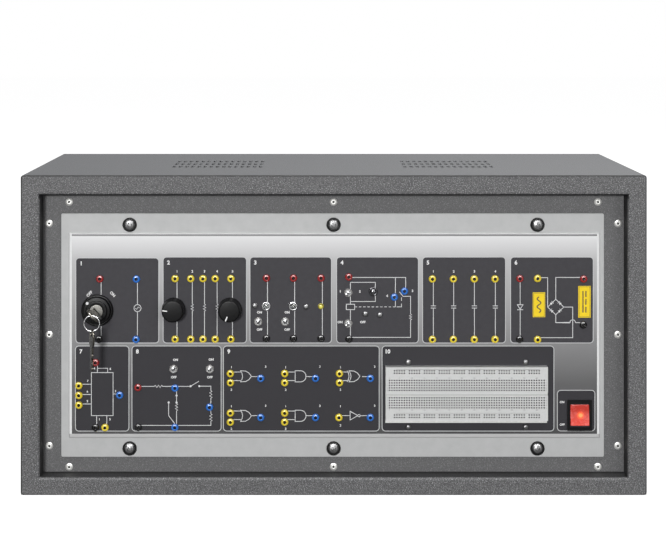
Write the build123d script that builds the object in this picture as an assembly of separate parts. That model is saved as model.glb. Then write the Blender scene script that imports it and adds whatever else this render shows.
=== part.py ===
"""Automotive electrical trainer: a steel cabinet with a recessed panel of sockets, switches and lamps.

Millimetres, +Z up, +X to the right and +Y to the back as the user sees the panel. The origin is in the
middle of the footprint, on the surface that the cabinet stands on.
"""
import os
from math import cos, radians, sin

from build123d import *

os.makedirs("parts", exist_ok=True)

# Cabinet: wrap, base tray and rear panel of sheet steel behind a folded front frame
cabinet_width = 634.0
cabinet_depth = 300.0
cabinet_height = 324.0
sheet = 1.5
corner_radius = 3.0
sheet_gap = 0.2
seam_gap = 0.6
rear_lip = 12.0
tray_flange = 25.0
frame_face = 2.0
frame_side_border = 19.2
frame_top_border = 20.3
frame_bottom_border = 17.9
frame_outer_return = 30.0
frame_lip = 18.0
edge_round = 1.2
fold_round = 3.0

# Vent slots in the top: two groups, rows one behind the other
vent_group_offset = 123.5
vent_columns = 15
vent_column_pitch = 6.6
vent_first_row = 99.0
vent_row_pitch = 36.0
vent_rows = 3
vent_slot_length = 20.0
vent_slot_width = 3.6

# Screws that hold the cover, tray and rear panel together
case_screw_radius = 2.0
case_screw_length = 8.0
case_head_radius = 3.8
case_head_height = 2.4
frame_screw_depth = 22.0
frame_screw_heights = (60.0, 264.0)
tray_screw_depths = (90.0, 240.0)
rear_screw_spread = 200.0
rear_side_screw_heights = (85.0, 245.0)
screw_clearance = 0.1

# Stack of panels in the recess, from the floor of the recess forward
recess_depth = 24.0
sub_panel_thickness = 2.0
window_width = 536.0
window_height = 208.0
plate_width = 555.5
plate_height = 249.0
plate_thickness = 2.5
plate_shift_x = -1.0
fascia_width = 543.0
fascia_height = 209.5
fascia_thickness = 2.5
fascia_shift_x = 0.8
fascia_bevel = 1.0
panel_drop = 3.5

# Blind rivets round the edge of the sub-panel
rivet_head_radius = 3.9
rivet_head_height = 1.3
rivet_hole_radius = 1.05
rivet_hole_depth = 1.8
rivet_radius = 1.6
rivet_bulb_radius = 2.4
rivet_column_spread = 271.0
rivet_row_spread = 114.0
rivet_inset_side = 6.3
rivet_inset_top = 9.1
rivet_inset_bottom = 5.1

# Screws in cup washers that hold the mounting plate
panel_screw_spread = 208.75
panel_screw_up = 113.0
panel_screw_down = 116.0
panel_screw_radius = 2.5
panel_head_radius = 5.6
cup_rim = 1.8
cup_height = 2.6
panel_nut_across = 8.0

# Sockets for 2 mm plugs
socket_bore_radius = 1.0
contact_radius = 1.5
contact_length = 12.5
collar_radius = 3.8
collar_height = 3.2
socket_lip = 0.8
socket_shank_radius = 2.4
socket_shank_length = 10.0
socket_nut_across = 7.0
socket_nut_thickness = 2.2

# Key switch
key_x, key_z = -241.5, 26.0
lock_radius = 7.2
lock_face = 12.0
rotor_stem_wall = 1.3
rotor_stem_length = 15.0
collar_step_wall = 3.6
rotor_rim = 3.1
rotor_step = 8.0
rotor_top = 10.5
switch_barrel_wall = 2.4
switch_head_rim = 2.2
switch_head = 1.2
switch_length = 18.0
switch_case_margin = 2.0
switch_case_length = 20.0
switch_nut_margin = 4.0
bezel_wall = 2.0
bezel_height = 5.0
bezel_gap = 0.3
running_gap = 0.1
keyway_width = 2.6
keyway_height = 8.4
keyway_depth = 25.0
key_angle = -45.0
dot_angle = 140.0
dot_radius = 1.3

# Keys and the wire ring that joins them; one key is in the lock, drawn part of the way out
key_thickness = 1.8
key_bow_width = 16.0
key_bow_length = 19.0
key_bow_corner = 7.5
key_hole_radius = 3.0
key_hole_inset = 4.6
key_blade_width = 7.4
key_blade_length = 23.5
key_tooth_pitch = 4.4
key_teeth = 4
key_out = 14.0
ring_wire_radius = 0.5
ring_radius = 7.8
ring_seat = -1.0
ring_lean = 44.3
spare_twist = -22.0

# Potentiometers and their knobs
knob_log_place = (-163.5, 27.0)
knob_lin_place = (-106.0, 27.0)
knob_log_pointer = 173.0
knob_lin_pointer = 248.5
knob_skirt_radius = 12.0
knob_top_radius = 10.9
knob_height = 18.5
knob_lift = 1.0
pointer_length = 5.0
pointer_width = 1.3
shaft_radius = 3.0
shaft_length = 13.5
pot_bushing_radius = 3.5
pot_bushing_height = 4.5
pot_case_radius = 8.2
pot_case_length = 9.0
pot_nut_across = 10.0
pot_nut_thickness = 2.0

# Miniature toggle switches: place, and the way that the lever leans at rest, in degrees from +X
toggle_places = {
    "toggle_lever_lamp_1": ((-77.0, 14.5), 90.0),
    "toggle_lever_lamp_2": ((-49.5, 14.5), 90.0),
    "toggle_lever_relay_top": ((15.0, 44.0), 180.0),
    "toggle_lever_relay_bottom": ((15.0, 12.5), 180.0),
    "toggle_lever_divider_1": ((-163.5, -34.0), 90.0),
    "toggle_lever_divider_2": ((-126.5, -34.0), 90.0),
}
toggle_tilt = 12.5
toggle_bushing_radius = 3.0
toggle_bushing_height = 4.6
toggle_bore_radius = 2.2
toggle_pivot_height = 2.6
toggle_lever_length = 12.2
toggle_tail_length = 4.4
toggle_nut_across = 8.0
toggle_nut_thickness = 2.0
toggle_case_length = 13.0
toggle_case_width = 7.0
toggle_case_depth = 9.5

# Push button, clear lamps and the yellow lamp
button_place = (40.5, 45.0)
lamp_places = [(-69.0, 30.0), (-41.5, 30.0)]
led_place = (-13.0, 30.0)
small_ring_radius = 4.65
small_ring_height = 1.8
small_barrel_radius = 4.0
small_barrel_length = 12.0
barrel_floor = 1.0
button_cap_radius = 3.0
button_cap_height = 4.6
button_cap_depth = 8.0
button_cap_round = 1.6
lamp_lens_radius = 3.2
lamp_lens_wall = 0.5
lamp_lens_depth = 1.5
bulb_base_radius = 2.4
bulb_glass_radius = 2.1
led_radius = 2.5
led_flange_radius = 3.0

# Small screws through the fascia, and the boards that they carry on spacers behind it
board_screw_places = [(-80.5, 30.5), (-28.0, 29.5), (32.5, 22.0), (47.5, 21.0)]
breadboard_screw_columns = (-59.0, 61.0)
breadboard_screw_above = 3.3
breadboard_screw_below = 8.2
board_screw_radius = 1.45
board_head_radius = 2.9
board_head_height = 1.8
spacer_across = 5.5
spacer_length = 16.0
spacer_stud = 4.0
board_thickness = 1.6
lamp_board = (-54.25, 31.0, 72.0, 26.0)
relay_board = (54.0, 20.0, 78.0, 34.0)
logic_board = (136.5, -60.5, 140.0, 86.0)

# Solderless breadboard on a thin plate
breadboard_place = (135.5, -58.0)
breadboard_side_margin = 3.81
breadboard_end_margin = 3.56
breadboard_thickness = 8.5
breadboard_plate = 1.0
breadboard_plate_drop = 3.8
hole_pitch = 2.54
hole_side = 1.4
terminal_columns = 63
terminal_rows = 5
terminal_half_gap = 3.81
rail_group_count = 10
rail_group_size = 5
rail_group_pitch = 6
rail_gap = 7.23
trough_width = 2.4
trough_depth = 3.0
groove_gap = 3.83
groove_width = 0.8
groove_depth = 0.4

# Rocker switch for the mains
rocker_place = (251.5, -81.5)
rocker_width = 19.0
rocker_height = 21.2
rocker_side_gap = 0.3
rocker_end_gap = 1.4
rocker_side_wall = 1.0
rocker_end_wall = 2.1
rocker_side_rim = 1.85
rocker_end_rim = 1.7
rocker_bezel = 1.8
rocker_body_depth = 22.0
rocker_pivot_depth = 1.5
rocker_pin_radius = 1.5
rocker_pin_length = 0.9
rocker_tilt = 9.0

# Yellow labels stuck on the fascia: x, z, width, height
label_places = [(210.0, 31.5, 12.7, 25.4), (256.5, 34.5, 12.7, 32.4)]
label_thickness = 0.2

# Mains inlet in the rear panel, transformer and supply board on the tray
inlet_x, inlet_z = 225.0, 60.0
inlet_flange = (31.0, 24.0)
inlet_flange_thickness = 2.0
inlet_body = (27.0, 19.6)
inlet_body_depth = 22.0
inlet_cavity = (24.2, 16.6)
inlet_cavity_depth = 17.0
inlet_pin = (2.0, 4.0, 14.0)
inlet_pin_spread = 7.0
inlet_earth_rise = 4.0
transformer_x, transformer_y = -120.0, 60.0
core_width, core_height, core_stack = 66.0, 55.0, 33.0
core_leg = 11.0
core_foot_length = 92.0
winding_gap = 0.3
tray_stud_radius = 2.0
supply_x, supply_y = 100.0, 65.0
supply_width, supply_depth = 120.0, 90.0
supply_lift = 10.5
supply_pillar_radius = 3.0
supply_pillar_inset = 6.0

# Worked out from the sizes above
front = -cabinet_depth / 2
back = cabinet_depth / 2
middle = cabinet_height / 2
opening_width = cabinet_width - 2 * frame_side_border
opening_height = cabinet_height - frame_top_border - frame_bottom_border
opening_z = frame_bottom_border + opening_height / 2
panel_z = middle - panel_drop
sub_panel_front = front + recess_depth
plate_front = sub_panel_front - plate_thickness
fascia_front = plate_front - fascia_thickness
stack = fascia_thickness + plate_thickness
tray_top = sheet
rotor_stem_radius = lock_radius + rotor_stem_wall
collar_step_radius = lock_radius + collar_step_wall
rotor_radius = collar_step_radius + rotor_rim
switch_barrel_radius = rotor_stem_radius + running_gap + switch_barrel_wall
switch_head_radius = switch_barrel_radius + switch_head_rim
switch_case = 2 * (switch_barrel_radius + switch_case_margin)
switch_nut_across = 2 * (switch_barrel_radius + switch_nut_margin)
bezel_radius = rotor_radius + bezel_gap + bezel_wall
last_terminal_row = terminal_half_gap + (terminal_rows - 1) * hole_pitch
rail_offsets = (last_terminal_row + rail_gap, last_terminal_row + rail_gap + hole_pitch)
breadboard_width = (terminal_columns - 1) * hole_pitch + 2 * breadboard_side_margin
breadboard_height = 2 * (rail_offsets[1] + breadboard_end_margin)
breadboard_screw_rows = (breadboard_place[1] + breadboard_height / 2 + breadboard_screw_above,
                         breadboard_place[1] - breadboard_height / 2 - breadboard_screw_below)
board_screw_places += [(breadboard_place[0] + x, z)
                       for x in breadboard_screw_columns for z in breadboard_screw_rows]
rocker_body_width = rocker_width + 2 * (rocker_side_gap + rocker_side_wall)
rocker_body_height = rocker_height + 2 * (rocker_end_gap + rocker_end_wall)
rocker_bezel_width = rocker_body_width + 2 * rocker_side_rim
rocker_bezel_height = rocker_body_height + 2 * rocker_end_rim


def save(name, solids):
    """Write one node, a single solid or a group of separate ones."""
    pieces = list(solids) if isinstance(solids, (list, tuple)) else list(solids.solids())
    flat = [solid for piece in pieces for solid in piece.solids()]
    export_step(flat[0] if len(flat) == 1 else Compound(flat), f"parts/{name}.step")


def facing(y):
    """A plane seen from the front: its x is +X, its y is +Z and it faces the user."""
    return Plane(origin=(0, y, 0), x_dir=(1, 0, 0), z_dir=(0, -1, 0))


def slab(outline, y_front, thickness):
    """A sheet that lies across the cabinet, from y_front towards the back."""
    return extrude(facing(y_front + thickness) * outline, amount=thickness)


def on_panel(x, z, height=0.0):
    """The frame of a part on the fascia: +Z comes out of the panel and 0 is the fascia's face."""
    origin = (x, fascia_front - height, panel_z + z)
    return Plane(origin=origin, x_dir=(1, 0, 0), z_dir=(0, -1, 0)).location


def turned(*profile):
    """A solid of revolution about +Z from (radius, height) points."""
    return revolve(Plane.XZ * make_face(Polyline(*profile, close=True)), axis=Axis.Z)


def rod(radius, low, high):
    return Pos(0, 0, (low + high) / 2) * Cylinder(radius, high - low)


def block(width, depth, low, high):
    return Pos(0, 0, (low + high) / 2) * Box(width, depth, high - low)


def hexagon(across, low, high, bore):
    """A hexagon nut with its hole."""
    outline = RegularPolygon(across / 2, 6, major_radius=False) - Circle(bore)
    return Pos(0, 0, low) * extrude(outline, amount=high - low)


def repeat(solid, places):
    return [solid.moved(on_panel(x, z)) for x, z in places]


# Sockets, block by block: x and height from the middle of the panel
upper_row, lower_row = 58.3, -3.6
resistor_columns = (-162.0, -146.0, -133.5, -121.0, -105.0)
lamp_columns = (-68.7, -41.0, -12.8)
capacitor_columns = (101.0, 122.4, 143.8, 165.0)
gate_inputs = (-105.5, -50.0, 6.0)
gate_outputs = (-74.5, -18.5, 37.5)
gate_upper = (-38.7, -48.0)
gate_lower = (-79.0, -88.3)
timer_inputs = (-51.0, -61.0, -71.0)
red_sockets = [(-239.0, 58.0), (15.5, 60.0), (190.4, 58.3), (255.5, 58.0), (-243.4, -27.5), (-200.0, -53.0)]
red_sockets += [(x, 58.8) for x in lamp_columns]
black_sockets = [(-240.0, -3.8), (15.8, -3.6), (190.1, -3.8), (255.2, 11.0), (-243.4, -94.0), (-199.6, -93.7)]
black_sockets += [(x, -3.0) for x in lamp_columns]
blue_sockets = [(-201.6, 57.9), (-202.0, -3.9), (72.4, 45.5), (62.1, 39.4), (-218.7, -60.8)]
blue_sockets += [(-162.2, -53.5), (-126.8, -73.1), (-162.2, -93.7)]
blue_sockets += [(x, z) for z in (-43.6, -83.6) for x in gate_outputs]
yellow_sockets = [(x, z) for z in (upper_row, lower_row) for x in resistor_columns]
yellow_sockets += [(x, z) for z in (upper_row - 0.3, lower_row - 0.2) for x in capacitor_columns]
yellow_sockets += [(208.5, 58.5), (208.5, -4.0), (-233.6, -93.9)]
yellow_sockets += [(-260.4, z) for z in timer_inputs]
yellow_sockets += [(x, z) for z in gate_upper for x in gate_inputs]
yellow_sockets += [(x, z) for z in gate_lower for x in gate_inputs[:2]]
yellow_sockets += [(5.4, -83.6)]
all_sockets = red_sockets + blue_sockets + yellow_sockets + black_sockets

rivet_top = opening_z + opening_height / 2 - rivet_inset_top
rivet_bottom = opening_z - opening_height / 2 + rivet_inset_bottom
rivet_side = opening_width / 2 - rivet_inset_side
rivet_places = [(x, z) for z in (rivet_top, rivet_bottom)
                for x in (-rivet_column_spread, 0, rivet_column_spread)]
rivet_places += [(x, panel_z + z) for x in (-rivet_side, rivet_side)
                 for z in (-rivet_row_spread, 0, rivet_row_spread)]
panel_screw_places = [(x, z) for z in (panel_screw_up, -panel_screw_down)
                      for x in (-panel_screw_spread, 0, panel_screw_spread)]


def ring_outline(width, height, wall, z, radius=0.0):
    """A rectangular ring, centred at height z, with its wall inside the given size."""
    outer = RectangleRounded(width, height, radius) if radius else Rectangle(width, height)
    return Pos(0, z) * (outer - Rectangle(width - 2 * wall, height - 2 * wall))


# Front frame: face, outer return inside the wrap, inner return folded down the recess, and the lip
inset = sheet + sheet_gap
face_outline = Pos(0, middle) * RectangleRounded(cabinet_width, cabinet_height, corner_radius)
face_outline -= Pos(0, opening_z) * Rectangle(opening_width, opening_height)
front_frame = slab(face_outline, front, frame_face)
front_frame = fillet(front_frame.faces().sort_by(Axis.Y)[0].outer_wire().edges(), edge_round)
outer_return = ring_outline(cabinet_width - 2 * inset, cabinet_height - 2 * inset, sheet, middle)
front_frame += slab(outer_return, front + frame_face, frame_outer_return)
return_width = opening_width + 2 * sheet
return_height = opening_height + 2 * sheet
inner_return = ring_outline(return_width, return_height, sheet, opening_z)
lip_front = sub_panel_front + sub_panel_thickness
front_frame += slab(inner_return, front + frame_face, lip_front - front - frame_face)
front_frame = fillet(front_frame.faces().sort_by(Axis.Y)[0].inner_wires()[0].edges(), fold_round)
lip_outline = ring_outline(return_width, return_height, sheet + frame_lip, opening_z)
for x, z in rivet_places:
    lip_outline -= Pos(x, z) * Circle(rivet_radius + screw_clearance)
front_frame += slab(lip_outline, lip_front, sheet)

# Wrap: top and two sides, with a lip round the back
wrap_front = front + frame_face + seam_gap
wrap_back = back - sheet


def wrap_outline(inside):
    """The wrap's section: a rounded U that is open at the bottom."""
    corners = fillet(Rectangle(cabinet_width, cabinet_height).vertices().group_by(Axis.Y)[-1], corner_radius)
    hollow = Pos(0, -inside / 2) * Rectangle(cabinet_width - 2 * inside, cabinet_height - inside)
    return Pos(0, middle) * (corners - hollow)


cover = slab(wrap_outline(sheet), wrap_front, wrap_back - wrap_front)
cover += slab(wrap_outline(sheet + rear_lip), wrap_back - sheet, sheet)
slots = Sketch()
for side in (-1, 1):
    for column in range(vent_columns):
        for row in range(vent_rows):
            x = side * vent_group_offset + (column - (vent_columns - 1) / 2) * vent_column_pitch
            y = front + vent_first_row + row * vent_row_pitch + vent_slot_length / 2
            slots += Pos(x, y) * Rot(0, 0, 90) * SlotOverall(vent_slot_length, vent_slot_width)
cover -= Pos(0, 0, cabinet_height - 2 * sheet) * extrude(slots, amount=3 * sheet)

# Base tray: floor, side flanges inside the wrap, and a rear flange between the wrap's lips
tray_width = cabinet_width - 2 * inset
tray_flange_front = front + frame_face + frame_outer_return + 1.0
tray_flange_back = wrap_back - sheet - 1.0
floor_back = wrap_back - sheet - sheet_gap
base_tray = Pos(0, (wrap_front + floor_back) / 2, sheet / 2) * Box(tray_width, floor_back - wrap_front, sheet)
for side in (-1, 1):
    flange_x = side * (tray_width - sheet) / 2
    flange_length = tray_flange_back - tray_flange_front
    flange_y = (tray_flange_back + tray_flange_front) / 2
    base_tray += Pos(flange_x, flange_y, tray_flange / 2) * Box(sheet, flange_length, tray_flange)
rear_flange = cabinet_width - 2 * (sheet + rear_lip + 1.0)
rear_tongue = wrap_back - floor_back
base_tray += Pos(0, wrap_back - rear_tongue / 2, sheet / 2) * Box(rear_flange, rear_tongue, sheet)
base_tray += Pos(0, wrap_back - sheet / 2, tray_flange / 2) * Box(rear_flange, sheet, tray_flange)

# Rear panel, with the cut-out for the inlet
rear_outline = Pos(0, middle) * RectangleRounded(cabinet_width, cabinet_height, corner_radius)
rear_panel = slab(rear_outline, wrap_back, sheet)
cut_width, cut_height = inlet_body[0] + 2 * sheet_gap, inlet_body[1] + 2 * sheet_gap
rear_panel -= Pos(inlet_x, wrap_back, inlet_z) * Box(cut_width, 4 * sheet, cut_height)

# Case screws: into the frame and the tray from the sides, and into the lips from the back
case_screw = turned((0, -case_screw_length), (case_screw_radius, -case_screw_length), (case_screw_radius, 0),
                    (case_head_radius, 0), (case_head_radius, case_head_height * 0.4),
                    (case_head_radius * 0.6, case_head_height), (0, case_head_height))
cross_cut = block(4.2, 0.9, case_head_height - 1.1, case_head_height + 1)
case_screw -= cross_cut + Rot(0, 0, 90) * cross_cut
case_holes = []
case_screws = []


def case_screw_at(origin, outward, side_dir):
    """One case screw with its hole, at a point on the outer face of the sheet."""
    place = Plane(origin=origin, x_dir=side_dir, z_dir=outward).location
    case_screws.append(case_screw.moved(place))
    case_holes.append(rod(case_screw_radius + screw_clearance, -case_screw_length - 1, 1).moved(place))


side_screw_places = [(front + frame_screw_depth, z) for z in frame_screw_heights]
side_screw_places += [(front + depth, tray_flange / 2) for depth in tray_screw_depths]
for side in (-1, 1):
    for y, z in side_screw_places:
        case_screw_at((side * cabinet_width / 2, y, z), (side, 0, 0), (0, 1, 0))
lip_middle = sheet + rear_lip / 2
rear_screw_places = [(x, cabinet_height - lip_middle) for x in (-rear_screw_spread, rear_screw_spread)]
rear_screw_places += [(x, tray_flange / 2) for x in (-rear_screw_spread, rear_screw_spread)]
for z in rear_side_screw_heights:
    rear_screw_places += [(x, z) for x in (-cabinet_width / 2 + lip_middle, cabinet_width / 2 - lip_middle)]
for x, z in rear_screw_places:
    case_screw_at((x, back, z), (0, 1, 0), (1, 0, 0))
front_frame -= case_holes
cover -= case_holes
base_tray -= case_holes
rear_panel -= case_holes

# Studs and pillars pressed into the tray for the transformer and the supply board
foot_hole_x = core_foot_length / 2 - 6.0
for side in (-1, 1):
    place = Pos(transformer_x + side * foot_hole_x, transformer_y, 0)
    base_tray += place * rod(tray_stud_radius, 0, tray_top + 7.0)
pillar_x = supply_width / 2 - supply_pillar_inset
pillar_y = supply_depth / 2 - supply_pillar_inset
for x in (-pillar_x, pillar_x):
    for y in (-pillar_y, pillar_y):
        place = Pos(supply_x + x, supply_y + y, 0)
        base_tray += place * rod(supply_pillar_radius, 0, tray_top + supply_lift)
        base_tray += place * rod(board_screw_radius, 0, tray_top + supply_lift + board_thickness + 2.0)

save("front_frame", front_frame)
save("cover", cover)
save("base_tray", base_tray)
save("rear_panel", rear_panel)
save("cover_screws", case_screws)

# Sub-panel on the frame's lip, with a window behind the fascia, and its blind rivets
sub_outline = Pos(0, opening_z) * Rectangle(opening_width - 2 * sheet_gap, opening_height - 2 * sheet_gap)
sub_outline -= Pos(0, panel_z) * RectangleRounded(window_width, window_height, 4)
for x, z in rivet_places:
    sub_outline -= Pos(x, z) * Circle(rivet_radius + screw_clearance)
for x, z in panel_screw_places:
    sub_outline -= Pos(x, panel_z + z) * Circle(panel_screw_radius + screw_clearance)
save("sub_panel", slab(sub_outline, sub_panel_front, sub_panel_thickness))

grip = sub_panel_thickness + sheet
rivet_hole_end = rivet_head_height - rivet_hole_depth
rivet = turned((rivet_hole_radius, rivet_hole_end), (rivet_hole_radius, rivet_head_height),
               (rivet_head_radius * 0.6, rivet_head_height), (rivet_head_radius, 0.35),
               (rivet_head_radius, 0), (rivet_radius, 0), (rivet_radius, -grip), (rivet_bulb_radius, -grip),
               (rivet_bulb_radius, -grip - 2.5), (0, -grip - 3.2), (0, rivet_hole_end))
save("sub_panel_rivets", [rivet.moved(on_panel(x, z - panel_z, -stack)) for x, z in rivet_places])

# Holes that the mounting plate and the fascia share
round_holes = [(x, z, socket_shank_radius) for x, z in all_sockets]
round_holes += [(key_x, key_z, switch_barrel_radius)]
round_holes += [(x, z, pot_bushing_radius) for x, z in (knob_log_place, knob_lin_place)]
round_holes += [(x, z, toggle_bushing_radius) for (x, z), lean in toggle_places.values()]
round_holes += [(x, z, small_barrel_radius) for x, z in [button_place] + lamp_places]
round_holes += [(led_place[0], led_place[1], led_radius)]
round_holes += [(x, z, board_screw_radius) for x, z in board_screw_places]


def panel_sheet(width, height, shift_x, corner):
    """The outline of the plate or the fascia with the holes for everything that passes through."""
    outline = Pos(shift_x, 0) * RectangleRounded(width, height, corner)
    holes = [Pos(x, z) * Circle(radius + screw_clearance) for x, z, radius in round_holes]
    holes += [Pos(*rocker_place) * Rectangle(rocker_body_width + 0.2, rocker_body_height + 0.2)]
    return outline - holes


plate_outline = panel_sheet(plate_width, plate_height, plate_shift_x, 1.5)
plate_outline -= [Pos(x, z) * Circle(panel_screw_radius + screw_clearance) for x, z in panel_screw_places]
save("mounting_plate", slab(Pos(0, panel_z) * plate_outline, plate_front, plate_thickness))

fascia = slab(Pos(0, panel_z) * panel_sheet(fascia_width, fascia_height, fascia_shift_x, 1.0),
              fascia_front, fascia_thickness)
front_rim = fascia.faces().sort_by(Axis.Y)[0].outer_wire().edges()
save("printed_fascia", chamfer(front_rim, fascia_bevel))

# Screws in cup washers, on the mounting plate; nuts behind the sub-panel
plate_level = -fascia_thickness
cup_radius = panel_head_radius + cup_rim
cup = turned((panel_screw_radius + screw_clearance, plate_level), (cup_radius, plate_level),
             (cup_radius, plate_level + 0.8), (cup_radius - cup_rim / 2, plate_level + cup_height),
             (panel_head_radius + 0.3, plate_level + cup_height),
             (panel_head_radius + 0.3, plate_level + 1.2),
             (panel_screw_radius + screw_clearance, plate_level + 1.2))
head_seat = plate_level + 1.2
nut_face = -stack - sub_panel_thickness
panel_screw = turned((0, nut_face - 6), (panel_screw_radius, nut_face - 6), (panel_screw_radius, head_seat),
                     (panel_head_radius, head_seat), (panel_head_radius, head_seat + 1.2),
                     (panel_head_radius * 0.6, head_seat + 2.9), (0, head_seat + 3.1))
cross_cut = block(5.6, 1.1, head_seat + 1.6, head_seat + 4)
panel_screw -= cross_cut + Rot(0, 0, 90) * cross_cut
panel_nut = hexagon(panel_nut_across, nut_face - 4, nut_face, panel_screw_radius + screw_clearance / 2)
save("cup_washers", repeat(cup, panel_screw_places))
save("panel_screws", repeat(panel_screw, panel_screw_places))
save("panel_nuts", repeat(panel_nut, panel_screw_places))

# Sockets: moulded body with a collar, brass contact behind its lip, and a nut behind the plate
contact_seat = collar_height - socket_lip
socket_body = turned((socket_bore_radius, collar_height), (collar_radius - 0.6, collar_height),
                     (collar_radius, collar_height - 0.6), (collar_radius, 0), (socket_shank_radius, 0),
                     (socket_shank_radius, -socket_shank_length),
                     (contact_radius + 0.05, -socket_shank_length), (contact_radius + 0.05, contact_seat),
                     (socket_bore_radius, contact_seat))
contact_end = contact_seat - contact_length
contact = turned((socket_bore_radius, contact_seat), (contact_radius, contact_seat),
                 (contact_radius, contact_end), (0.7, contact_end - 0.8), (0.7, contact_end - 4.0),
                 (0, contact_end - 4.0), (0, contact_end), (socket_bore_radius, contact_end))
socket_nut = hexagon(socket_nut_across, -stack - socket_nut_thickness, -stack, socket_shank_radius + 0.05)
save("jack_bodies_red", repeat(socket_body, red_sockets))
save("jack_bodies_blue", repeat(socket_body, blue_sockets))
save("jack_bodies_yellow", repeat(socket_body, yellow_sockets))
save("jack_bodies_black", repeat(socket_body, black_sockets))
save("jack_contacts", repeat(contact, all_sockets))
save("jack_nuts", repeat(socket_nut, all_sockets))

# Key switch: fixed bezel and body, turning collar with the lock in it
key_frame = on_panel(key_x, key_z)
bezel_bore = rotor_radius + bezel_gap
key_bezel = turned((switch_barrel_radius + 0.1, 0), (bezel_radius, 0), (bezel_radius, bezel_height - 1.0),
                   (bezel_radius - 1.0, bezel_height), (bezel_bore, bezel_height), (bezel_bore, switch_head),
                   (switch_barrel_radius + 0.1, switch_head))
stem_bore = rotor_stem_radius + running_gap
switch_bore_end = rotor_stem_length + 1.0
key_body = turned((stem_bore, switch_head), (switch_head_radius, switch_head),
                  (switch_head_radius, 2 * switch_head), (stem_bore, 2 * switch_head))
key_body += turned((stem_bore, switch_head), (switch_barrel_radius, switch_head),
                   (switch_barrel_radius, -switch_length), (0, -switch_length), (0, -switch_bore_end),
                   (stem_bore, -switch_bore_end))
switch_end = -switch_length - switch_case_length
key_body += block(switch_case, switch_case, switch_end, -switch_length)
for x in (-8, 8):
    for y in (-6, 6):
        key_body += Pos(x, y, 0) * block(4.8, 0.8, switch_end - 7, -switch_length - 1)
rotor_low = 2 * switch_head + 0.2
lock_bore = lock_radius + 0.05
collar = turned((lock_bore, -rotor_stem_length), (rotor_stem_radius, -rotor_stem_length),
                (rotor_stem_radius, rotor_low), (rotor_radius, rotor_low), (rotor_radius, rotor_step - 0.5),
                (rotor_radius - 0.5, rotor_step), (collar_step_radius, rotor_step),
                (collar_step_radius, rotor_top - 0.6), (collar_step_radius - 0.6, rotor_top),
                (lock_bore, rotor_top))
dot_distance = (rotor_radius + collar_step_radius) / 2
dot_place = Pos(dot_distance * cos(radians(dot_angle)), dot_distance * sin(radians(dot_angle)), 0)
collar -= dot_place * rod(dot_radius, rotor_step - 0.25, rotor_step + 1)
lock = turned((0, -rotor_stem_length), (lock_radius, -rotor_stem_length), (lock_radius, lock_face - 0.5),
              (lock_radius - 0.5, lock_face), (0, lock_face))
lock -= Rot(0, 0, key_angle) * block(keyway_height, keyway_width, lock_face - keyway_depth, lock_face + 1)
save("key_switch_bezel", key_bezel.moved(key_frame))
save("key_switch_body", key_body.moved(key_frame))
switch_nut = hexagon(switch_nut_across, -stack - 3, -stack, switch_barrel_radius + 0.05)
save("key_switch_nut", switch_nut.moved(key_frame))
save("key_switch_collar", collar.moved(key_frame))
save("key_lock_barrel", lock.moved(key_frame))

# One key, with its hole at the origin, its bow towards +Z and its flat sides facing +Y and -Y. The ring
# lies flat to the panel, through the hole of the key in the lock, with its middle to one side of it.
bow_end = key_hole_inset - key_bow_length
blade_end = bow_end - key_blade_length
half_blade = key_blade_width / 2
key_outline = Pos(0, (key_hole_inset + bow_end) / 2) * RectangleRounded(key_bow_width, key_bow_length,
                                                                           key_bow_corner)
blade_points = [(-half_blade, bow_end + 1), (half_blade, bow_end + 1), (half_blade, blade_end + 2.0),
                (0.6, blade_end), (-0.6, blade_end), (-half_blade, blade_end + 2.0)]
key_outline += make_face(Polyline(*blade_points, close=True))
key_outline -= Circle(key_hole_radius)
for tooth in range(key_teeth):
    notch = blade_end + 4.5 + tooth * key_tooth_pitch
    depth = 1.0 + 0.5 * (tooth % 3)
    edge = half_blade + 0.5
    points = [(edge, notch - 1.6), (half_blade - depth, notch), (edge, notch + 1.6)]
    key_outline -= make_face(Polyline(*points, close=True))
key_solid = extrude(Plane.XZ * key_outline, amount=key_thickness / 2, both=True)
key_hole_height = lock_face + key_out - bow_end
ignition_key = key_solid.moved(key_frame * Pos(0, 0, key_hole_height) * Rot(0, 0, key_angle))
ring_along = ring_seat + ring_radius * sin(radians(ring_lean))
ring_aside = -ring_radius * cos(radians(ring_lean))
bow_turn = radians(key_angle)
ring_x = ring_along * cos(bow_turn) - ring_aside * sin(bow_turn)
ring_y = ring_along * sin(bow_turn) + ring_aside * cos(bow_turn)
key_ring = Pos(ring_x, ring_y, key_hole_height) * Torus(ring_radius, ring_wire_radius)
spare_drop = ring_y - ring_radius - (key_hole_radius - ring_wire_radius - 0.2)
twist = radians(spare_twist)
spare_plane = Plane(origin=(ring_x, spare_drop, key_hole_height), x_dir=(-sin(twist), 0, cos(twist)),
                    z_dir=(0, 1, 0))
save("ignition_key", ignition_key)
save("key_ring", key_ring.moved(key_frame))
save("spare_key", key_solid.moved(key_frame * spare_plane.location))

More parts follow.
